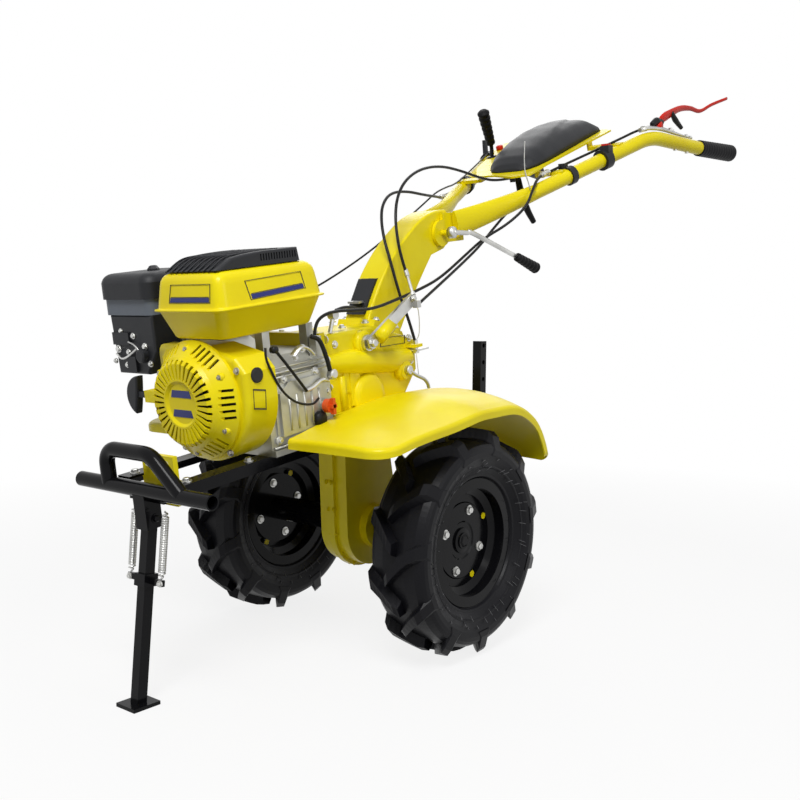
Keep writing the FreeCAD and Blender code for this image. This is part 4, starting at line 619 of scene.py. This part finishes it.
def tank_mesh():
    """A stack of rounded rectangles: each corner is a quarter circle r (cos t, sin t) about
    a centre that lies r inside the sides, and a level is (z, inset from the tank's sides, r).
    The seam between the shells has a negative inset, so it stands past the sides."""
    levels = np.array([(421.5, 40, 8), (421.5, 24, 13), (423, 20.5, 15), (426, 18, 16),
                       (466, 3.0, 20), (467.6, 2, 20), (468.3, 0, 21), (468.5, -4.6, 25),
                       (470, -5, 25), (471.5, -4.6, 25), (471.8, 0, 21), (472.8, 1.4, 20),
                       (475, 1.8, 19), (508, 6.6, 17), (516, 8.4, 16), (521, 11, 15),
                       (525.5, 15, 14), (528.6, 20.5, 12), (530, 27, 10), (530, 44, 6)], float)
    z, inset, corner = levels.T[:, :, None]
    back, front, right, left = 150, 388, -62, 104
    turn = np.radians(np.concatenate([90 * k + np.linspace(0, 90, 9) for k in range(4)]))
    in_front, on_left = np.repeat([1, 0, 0, 1], 9), np.repeat([1, 1, 0, 0], 9)
    x = np.where(in_front, front - inset - corner, back + inset + corner) + corner * np.cos(turn)
    y = np.where(on_left, left - inset - corner, right + inset + corner) + corner * np.sin(turn)
    return (np.stack([x, y, np.broadcast_to(z, x.shape)], axis=-1),
            ring_faces(len(levels), len(turn)))


trim("tank_shells", [tank_mesh()], "chassis", YELLOW, replaces="fuel_tank")
FRONT_LABEL = [(385.8, -20, 482), (385.8, 80, 482), (381.7, 80, 511), (381.7, -16, 511)]
SIDE_LABEL = [(321, 101.8, 479), (195, 101.0, 484), (200, 97.4, 513), (327, 97.6, 510)]
FAN_LABEL = [(350, 114.2, 309), (324, 114.2, 303), (321, 114.2, 336), (348, 114.2, 342)]
RULE = (0.04, 0.96), (0.30, 0.33)       # a thin line under a label's blank, as shares of it
STRIPE = (0.03, 0.97), (0.04, 0.28)     # the blue stripe below that line
CAP_FACE = 400.2
cap_bands = [[(CAP_FACE, -25, CRANK[2] + low), (CAP_FACE, 25, CRANK[2] + low),
              (CAP_FACE, 21, CRANK[2] + high), (CAP_FACE, -21, CRANK[2] + high)]
             for low, high in ((10, 22), (-22, -10))]
trim("tank_borders", border(FRONT_LABEL, 0.012) + border(SIDE_LABEL, 0.012)
     + [patch(FRONT_LABEL, *RULE), patch(SIDE_LABEL, *RULE)] + border(FAN_LABEL, 0.04),
     "chassis", INK, smooth=False)
trim("blue_bands", [patch(FRONT_LABEL, *STRIPE), patch(SIDE_LABEL, *STRIPE)]
     + [patch(band, (0, 1), (0, 1), 0.4) for band in cap_bands], "chassis", BLUE, smooth=False)
trim("tank_cover_ridges", [curved([(374, y, 530), (340, y, 547.4), (304, y, 551.4),
                                   (264, y, 553.2), (222, y, 553.2)], 1.4, sides=8)
                           for y in np.arange(-34, 80, 13.0)], "chassis", PLASTIC)


# ---- recoil cover -------------------------------------------------------------------------

EAR_CIRCLE = 86
SHOULDER = [(-10, 318), (-10, 411), (-78, 411), (-85, 409), (-90, 403), (-92, 396), (-91, 318)]
COVER_SCREWS = [(362, 96, 372), (362, -80, 372), (362, 60, 236), (362, -52, 236)]

# A black disc just behind the recoil cover stands for the flywheel fan and is painted shade seen
# through the cover's slots; a round black hub stands in front of it.
trim("recoil_fan_shade_disc_and_hub", [turned(CRANK + [1, 0, 0], FRONT, [(0, 93), (4, 93), (5, 88)], 64),
                       turned(CRANK + [6, 0, 0], FRONT, [(0, 40), (24, 38)], 40)],
     "chassis", PLASTIC, smooth=False)
ear_turns = np.radians((90, 30, -30, -90, 150, 210))
ear_spots = [CRANK + [0, EAR_CIRCLE * math.cos(turn), EAR_CIRCLE * math.sin(turn)]
             for turn in ear_turns]
trim("recoil_ears", [turned(spot + [6, 0, 0], FRONT, [(0, 8), (12, 6.5), (13, 5.5)], 20)
                     for spot in ear_spots] + [prism(SHOULDER, 340.0, 361.6)], "chassis", YELLOW)
trim("cover_screws", bolts([spot + [19, 0, 0] for spot in ear_spots], FRONT, 3.2)
     + bolts(COVER_SCREWS, FRONT, 4.2), "chassis", SILENCER, smooth=False)
trim("housing_button", [turned((337, 113.5, 362), LEFT, [(0, 12.5), (2, 12.5), (3.4, 10)], 28)],
     "chassis", PLASTIC, smooth=False)


# ---- crankcase ----------------------------------------------------------------------------

CASE_SCREWS = [(158, 238), (218, 234), (280, 240), (284, 300), (258, 340), (182, 340), (156, 300)]

upright_ribs = [tube_mesh([(x, 95.6, 252), (x, 96.2, 282), (x, 95.6, 311)], 2.2, 10)
                for x in (182, 200, 218, 236, 254)]
level_ribs = [tube_mesh([(150, 90.5, z), (220, 90.8, z), (292, 90.5, z)], 2.0, 8)
              for z in (228, 344, 352, 360)]
screw_bosses = [turned((x, 84, z), LEFT, [(0, 8), (8, 7.5), (8.6, 6)], 18) for x, z in CASE_SCREWS]
trim("crankcase_ribs", upright_ribs + level_ribs + screw_bosses, "chassis", CASTING)

governor = [turned((154, 100, 330), LEFT, [(0, 9), (10, 9), (12, 6)], 20),
            curved([(240, 99, 376), (221, 100, 388), (205, 100, 384), (191, 99, 372)], 3.0, flat=2.0),
            curved([(218, 100, 313), (200, 101, 316), (178, 101, 324), (160, 100, 320)], 3.4)]
trim("crankcase_screws", bolts([(x, 92, z) for x, z in CASE_SCREWS], LEFT, 4.4)
     + bolt((215, 98, 385), LEFT, 5) + bolt((232, 98, 372), LEFT, 4) + governor,
     "chassis", ZINC, smooth=False)

fuel_hose = curved([(314, 115.5, 402), (316, 117, 386), (311, 117, 371), (292, 115, 336),
                    (268, 112, 311), (241, 110, 296), (213, 109, 290), (195, 107, 296)], 2.1)
switch_lead = curved([(282, 103, 393), (262, 104, 368), (240, 104, 340), (218, 103, 313)], 2.6)
breather = curved([(191, 98, 402), (176, 103, 392), (164, 104, 362), (156, 103, 334)], 4.0)
drain_boss = turned((188, 90, 258), LEFT, [(0, 14), (14, 13), (16, 10)], 28)
lead_grommet = turned((282, 96, 393), LEFT, [(0, 6), (10, 6)], 16)
trim("engine_hoses", [fuel_hose, switch_lead, breather, drain_boss, lead_grommet],
     "chassis", SHEATH)
trim("oil_plug_wings", [block((166, 113, 275), (178, 121, 281)),
                        block((169, 113, 264), (175, 121, 292))], "chassis", PLUG, smooth=False)


# ---- carburettor and air cleaner ----------------------------------------------------------

CARBURETTOR_FACE = 346.2
CARBURETTOR_SCREWS = [(-226, 396, 5), (-198, 391, 4), (-240, 374, 3.5), (-206, 368, 4),
                      (-150, 402, 4.5), (-140, 372, 4), (-180, 420, 4), (-214, 428, 3.5)]

screws = sum([bolt((CARBURETTOR_FACE, y, z), FRONT, size) for y, z, size in CARBURETTOR_SCREWS], [])
linkage = [curved([(350, -230, 388), (352, -214, 380), (352, -196, 384), (350, -170, 398)], 1.8),
           curved([(351, -190, 410), (353, -170, 404), (353, -150, 385)], 1.5)]
trim("carburettor_screws", screws + linkage, "chassis", ZINC, smooth=False)
trim("carburettor_plates", [block((346, -236, 404), (350, -190, 426)),
                            block((346, -200, 356), (351, -176, 384)),
                            turned((346, -156, 386), FRONT, [(0, 13), (9, 12), (11, 9)], 26)],
     "chassis", PLASTIC, smooth=False)
trim("cleaner_clips", [turned((279, -189, 528), UP, [(-6, 11), (3, 11), (8, 7), (9, 4)], 6)],
     "chassis", PLASTIC, smooth=False)


# ---- gearbox ------------------------------------------------------------------------------

WALL_BOLTS = [(118, 232), (96, 372), (-60, 372), (-118, 352), (-118, 306), (38, 284), (-44, 240)]
SERIAL_PLATE = [(-32, 62.4, 364), (-108, 62.4, 359), (-106, 62.4, 343), (-30, 62.4, 347)]


def shaft_bulge(y, flat):
    """The long bulge over the shafts on one wall of the gearbox, thicker in its middle."""
    return curved([(122, y, 340), (60, y, 334), (0, y, 325), (-60, y, 317), (-118, y, 316)],
                  [14, 23, 24, 24, 15], flat=flat)


flange_bolts = bolts([(130, 72 * hand, z) for hand in SIDES for z in (248, 300, 350, 386)], BACK, 5.5)
roof_bolts = bolts([(x, 42 * hand, 396) for hand in SIDES for x in (122, 50, -16)], UP, 5)
trim("gearbox_bolts", flange_bolts + roof_bolts + bolts_both_sides(WALL_BOLTS, 62.5, 5),
     "chassis", ZINC, smooth=False)
trim("gearbox_bosses",
     [shaft_bulge(61, 0.85), shaft_bulge(-61, 0.7),
      turned((18, 60, 262), LEFT, [(0, 44), (8, 43), (12, 38), (13, 28)], 40),
      block((80, 60, 246), (93, 69, 312)),
      turned((8, 94, 371), (-0.89, 0, 0.45), [(0, 15), (42, 15)], 4),
      turned((22, 60, 364), LEFT, [(0, 24), (10, 22), (12, 19)], 32),
      turned((-86, 60, 294), LEFT, [(0, 22), (12, 20), (16, 17.5)], 28),
      turned((60, 60, 300), LEFT, [(0, 26), (4, 25), (5, 22)], 32),
      turned((60, -60, 300), RIGHT, [(0, 26), (4, 25), (5, 22)], 32),
      turned((-20, -60, 350), RIGHT, [(0, 22), (8, 21), (9, 17)], 32)], "chassis", YELLOW)
trim("serial_plate", border(SERIAL_PLATE, 0.03, 0.8), "chassis", INK, smooth=False)


# ---- gear case ----------------------------------------------------------------------------

CASE_CIRCLE = 80.5
round_end = [(CASE_CIRCLE * math.cos(turn), CASE_CIRCLE * math.sin(turn))
             for turn in np.radians((0, -32, -64, -96, -128, -160))]
upright_edges = [(-CASE_CIRCLE, 46), (-CASE_CIRCLE, 96), (CASE_CIRCLE, 50), (CASE_CIRCLE, 104)]
trim("case_bolts", bolts_both_sides(round_end + upright_edges, 6.5, 3.2),
     "chassis", YELLOW, smooth=False)


# ---- clutch and gear arms -----------------------------------------------------------------

THREADED_END = [(0, 4.6), (16, 4.6), (17, 3), (56, 3), (57, 5), (63, 5)]
gear_cable_end = turned((-134, 55, 483), (24, 33, -46), THREADED_END, 14)
reverse_arm = [turned((-86, 77, 294), LEFT, [(0, 9), (9, 9), (10, 7)], 20),
               curved([(-86, 84, 294), (-104, 85, 281), (-128, 85, 269), (-140, 84, 258),
                       (-146, 82, 248)], 3.6)]
reverse_cable_end = [block((-150, 62, 326), (-112, 86, 329.5)),
                     turned((-119, 78, 329), UP, [(0, 5), (18, 5), (19, 3.4)], 6),
                     turned((-119, 78, 322), UP, [(0, 6.5), (6, 6.5)], 6)]
return_wire = curved([(-112, 90, 428), (-122, 89, 400), (-125, 84, 360), (-119, 78, 341),
                      (-117, 80, 310), (-114, 84, 276)], 0.9, sides=6)
trim("clutch_arm_bolts", bolt((22, 88.6, 364), LEFT, 8) + bolt((-108, 90, 430), LEFT, 5)
     + [gear_cable_end] + reverse_arm + reverse_cable_end + [return_wire],
     "chassis", ZINC, smooth=False)
trim("selector_cable", [curved([(84, 62, 432), (60, 60, 434), (35, 56, 431), (2, 44, 424),
                                (-30, 24, 420)], 3.0)], "chassis", SHEATH)


# ---- column -------------------------------------------------------------------------------

trim("panel_band", [block((-52, -16, 429), (-36, 12, 433))], "chassis", ZINC, smooth=False)
trim("column_bolts", bolts([(x, 39 * hand, z) for hand in SIDES
                            for x, z in ((-52, 396), (-108, 374))], (-0.32, 0, 0.95), 5),
     "chassis", ZINC, smooth=False)


# ---- clamp, gear and lock levers ----------------------------------------------------------

def sleeve(start, end, low, high, ribs, swell=0.12):
    """A ribbed grip between two points: its radius runs from the low to the high value and
    swells by a share at each rib, r (1 + s |sin(pi n x)|)."""
    start, end = np.asarray(start, float), np.asarray(end, float)
    length = np.linalg.norm(end - start)
    x = np.linspace(0, 1, 12 * ribs + 1)
    radius = (low + (high - low) * x) * (1 + swell * np.abs(np.sin(math.pi * ribs * x)))
    radius = radius * np.interp(x, [0, 0.03, 0.95, 1], [0.7, 1, 1, 0.72])
    return turned(start, end - start, np.stack([x * length, radius], axis=1), 28)


TRAY_UP = (0.27, 0, 0.96)
GEAR_TOP, GEAR_FOOT = np.array([-682.0, -105, 812]), np.array([-734.0, -122, 735])

trim("clamp_rod", [turned((-285, 58, 545), LEFT, [(0, 12), (11, 12), (14, 9)], 28),
                   curved([(-285, 68, 545), (-326, 72, 541), (-347, 76, 537), (-470, 96, 480)], 5.2)],
     "handlebars", ZINC, replaces="handle_clamp_lever")
trim("clamp_grip", [sleeve((-474, 97, 478), (-546, 103, 445), 9, 12, 7, 0.08)],
     "handlebars", GRIP)
trim("gear_rod", [curved([GEAR_FOOT + [0, 0, -30], GEAR_FOOT, (GEAR_FOOT + GEAR_TOP) / 2, GEAR_TOP], 5),
                  turned(GEAR_FOOT + [0, 0, -34], TRAY_UP, [(0, 13), (8, 13), (10, 8)], 24)],
     "handlebars", BLACK, replaces="gear_shift_lever")
trim("gear_grip", [sleeve(GEAR_TOP + [-50, -16, -74], GEAR_TOP + [2, 0, 3], 10, 13.5, 7)],
     "handlebars", GRIP)
trim("lock_rod", [curved([(-612, 20, 662), (-617, 22, 650), (-626, 24, 612), (-645, 26, 575),
                          (-668, 28, 545)], [7, 7, 9, 8, 6.5]),
                  block((-640, 8, 652), (-600, 36, 664))],
     "handlebars", BLACK, replaces="lock_lever")


# ---- console ------------------------------------------------------------------------------

TRAY_EDGE, TRAY_LEAN = (-555, 654), np.radians(15.5)


def on_tray(points):
    """Points drawn on the tray, its front edge at x = 0, moved to the chassis: the tray
    leans back about that edge, so x' = x cos a + z sin a and z' = z cos a - x sin a."""
    x, y, z = np.moveaxis(np.asarray(points, float), -1, 0)
    c, s = np.cos(TRAY_LEAN), np.sin(TRAY_LEAN)
    return np.stack([TRAY_EDGE[0] + x * c + z * s, y, TRAY_EDGE[1] - x * s + z * c], axis=-1)


def dome_mesh():
    """The console's cover.  Across a section, u runs from 0 to 1 and the height is
    rise (1 - |2u - 1|^3.4)^0.6, less a 3.5 mm step past a crease that crosses the cover.
    A station is (x, right side, left side, rise)."""
    stations = np.array([(-16, 0, 60, 6), (-24, -22, 76, 16), (-44, -38, 88, 28), (-80, -52, 95, 38),
                         (-140, -62, 98, 47), (-210, -70, 100, 50), (-275, -74, 101, 47),
                         (-325, -76, 102, 41), (-342, -72, 100, 30), (-346, -68, 96, 10)], float)
    lengthwise, crosswise = 46, 49
    t = np.linspace(0, len(stations) - 1, lengthwise)
    x, right, left, rise = (np.interp(t, np.arange(len(stations)), column)[:, None]
                            for column in stations.T)
    u = np.linspace(0, 1, crosswise)
    crease = 0.98 - 0.45 * np.clip((-x - 60) / 270, 0, 1)
    step = 3.5 * np.clip((u - crease) / 0.05, 0, 1) * np.clip((1 - u) / 0.06, 0, 1)
    above_tray = 4.2
    z = (above_tray + rise * (1 - np.abs(2 * u - 1) ** 3.4) ** 0.6
         - step * np.clip(rise / 20 - 0.4, 0, 1))
    y = right + (left - right) * u
    return on_tray(np.stack([x + 0 * y, y, z], axis=-1)), ring_faces(lengthwise, crosswise)


trim("switch_button", [block((-758, 173, 704), (-742, 189, 710))],
     "handlebars", RED, smooth=False)
trim("console_dome", [dome_mesh()], "handlebars", PLASTIC, replaces="console_cover")
trim("tray_button", [turned(on_tray((-261, -143, 4)), TRAY_UP, [(0, 9), (9, 9), (11, 6)], 20)],
     "handlebars", RED)


# ---- cable fittings -----------------------------------------------------------------------

def adjuster(start, way, length, *nuts):
    """A threaded sleeve along a cable, with a thick and a thin lock nut on it."""
    lock_nuts = [turned(spot, way, [(0, 7.5), (height, 7.5)], 6) for spot, height in zip(nuts, (7, 6))]
    return [turned(start, way, [(0, 4.6), (length, 4.6)], 14)] + lock_nuts


trim("cable_adjusters",
     adjuster((-560, 116, 648), (-52, -1.5, 11), 40, (-566, 116, 649), (-590, 115, 654))
     + adjuster((-484, -107, 619), (-66, -32, 2), 52, (-512, -120, 620), (-528, -128, 620)),
     "handlebars", ZINC, smooth=False)
trim("cable_strap", [curved([(-545, 90, 724), (-533, 94, 690), (-526, 98, 660), (-522, 106, 640),
                             (-508, 120, 622)], 2.2, flat=0.5)], "handlebars", WHITE)


# ---- grips and clutch lever ---------------------------------------------------------------

LEVER = [(-946, 221, 752), (-962, 223, 762), (-984, 225, 771), (-1050, 232, 789),
         (-1103, 238, 791), (-1152, 244, 785), (-1202, 256, 801), (-1262, 273, 816)]
LEVER_EYE = np.array(LEVER[0]) + [4, -12, -4]

trim("grip_sleeves", [sleeve((-1092, 260 * hand, 691.6), (-1238, 291 * hand, 674), 19.5, 21, 14, 0.022)
                      for hand in SIDES], "handlebars", GRIP, replaces="handle_grips")
trim("clutch_blade", [curved(LEVER, [7, 11, 12, 8, 6, 5, 4.5, 4], flat=0.5),
                      turned(LEVER_EYE, LEFT, [(0, 9), (24, 9)], 20)],
     "handlebars", RED, replaces="clutch_hand_lever")
trim("clutch_stub", [curved([(-916, 220, 752), (-936, 222, 758), (-958, 226, 756)], [6, 10, 7]),
                     curved([(-1006, 231, 780), (-1020, 234, 762), (-1044, 239, 742)], [5, 7, 5])],
     "handlebars", SHEATH)
bracket = curved([(-880, 214, 742), (-910, 220, 743), (-950, 228, 740), (-1000, 240, 729),
                  (-1040, 246, 722), (-1076, 250, 717)], [5.5, 5.5, 5.5, 4, 3, 2.5], flat=1.8)
cable_nut = turned((-868, 211, 738), (-60, 14, 8), [(0, 6), (22, 6), (24, 4)], 6)
top_bolts = (bolt((-985, 236, 736), UP, 6) + bolt((-1052, 247, 721), UP, 5)
             + bolt((-1070, 250, 718), UP, 4))
under_bolts = bolts([(-1000, 240, 692), (-1046, 250, 684)], DOWN, 4.5)
trim("clutch_bracket", [bracket, cable_nut] + top_bolts + under_bolts,
     "handlebars", ZINC, smooth=False)


# ---- studio -------------------------------------------------------------------------------

def make_floor():
    """A plain lit floor that turns as white as the room with the distance from its middle."""
    finish = Finish("studio_floor", Roughness=0.85)
    finish.feed("Base Color", finish.ray("Is Camera Ray") * 0.5 + 0.4)
    away = finish.node("ShaderNodeVectorMath", {"operation": "LENGTH"}, finish.place(),
                       output="Value")
    white = finish.node("ShaderNodeMapRange", {}, away, 0.9, 2.1, 0.84, 1.0)
    glow = finish.node("ShaderNodeEmission", {}, Color=grey(1.0))
    lit = Wire(finish, finish.shader.outputs[0])
    mixed = finish.node("ShaderNodeMixShader", {}, finish.seen() * white, lit, glow)
    finish.surface(mixed, "Material Output")
    half = 14
    corners = [(-half, -half, 0), (half, -half, 0), (half, half, 0), (-half, half, 0)]
    build("studio_floor", corners, [[(0, 1, 2, 3)]], None, finish.material)


def make_room():
    """A room that lights dimly and is seen as white."""
    world = bpy.data.worlds.new("studio")
    bpy.context.scene.world = world
    world.use_nodes = True
    room = Nodes(world.node_tree)
    background = room.tree.nodes["Background"]
    room.link(grey(1.0), background.inputs["Color"])
    room.link(0.20, background.inputs["Strength"])
    dim = Wire(room, background.outputs[0])
    white = room.node("ShaderNodeBackground", {}, grey(1.0), 1.0)
    room.surface(room.node("ShaderNodeMixShader", {}, room.seen(), dim, white), "World Output")


def make_light(name, spot, aim, size, power):
    """A square area light at a spot, turned to face the aim."""
    lamp = bpy.data.lights.new(name, "AREA")
    lamp.size, lamp.energy = size, power
    light = bpy.data.objects.new(name, lamp)
    bpy.context.collection.objects.link(light)
    way = np.array(aim) - np.array(spot)
    light.location = spot
    light.rotation_euler = (math.atan2(math.hypot(way[0], way[1]), -way[2]), 0.0,
                            math.atan2(way[1], way[0]) - math.pi / 2)


def make_camera(from_axle, turn, pitch, roll):
    """A 44.5 mm lens on a 36 mm sensor.  Its back is (cos p cos t, cos p sin t, sin p), and
    its sides are turned about that by the roll."""
    back = np.array([math.cos(pitch) * math.cos(turn), math.cos(pitch) * math.sin(turn),
                     math.sin(pitch)])
    right = np.array([-math.sin(turn), math.cos(turn), 0.0])
    up = np.cross(back, right)
    lens = bpy.data.cameras.new("camera")
    lens.sensor_width, lens.lens, lens.clip_start = 36.0, 44.48, 0.05
    camera = bpy.data.objects.new("camera", lens)
    bpy.context.collection.objects.link(camera)
    matrix = np.eye(4)
    matrix[:3, 0] = right * math.cos(roll) + up * math.sin(roll)
    matrix[:3, 1] = up * math.cos(roll) - right * math.sin(roll)
    matrix[:3, 2] = back
    matrix[:3, 3] = AXLE + from_axle
    camera.matrix_world = Matrix(matrix.tolist())
    bpy.context.scene.camera = camera


make_floor()
make_room()
make_light("key_light", (2.2, 1.2, 3.0), (0.1, 0.0, 0.5), 1.3, 86)
make_light("side_light", (0.2, 3.2, 1.6), (0.0, 0.0, 0.6), 1.6, 17)
make_light("back_light", (-2.2, -1.6, 2.6), (0.0, 0.0, 0.6), 1.8, 22)
make_camera(np.array([1.4575, 1.266, 0.4108]), *np.radians((38.72, 4.97, 0.44)))
bpy.context.scene.view_settings.view_transform = "Standard"
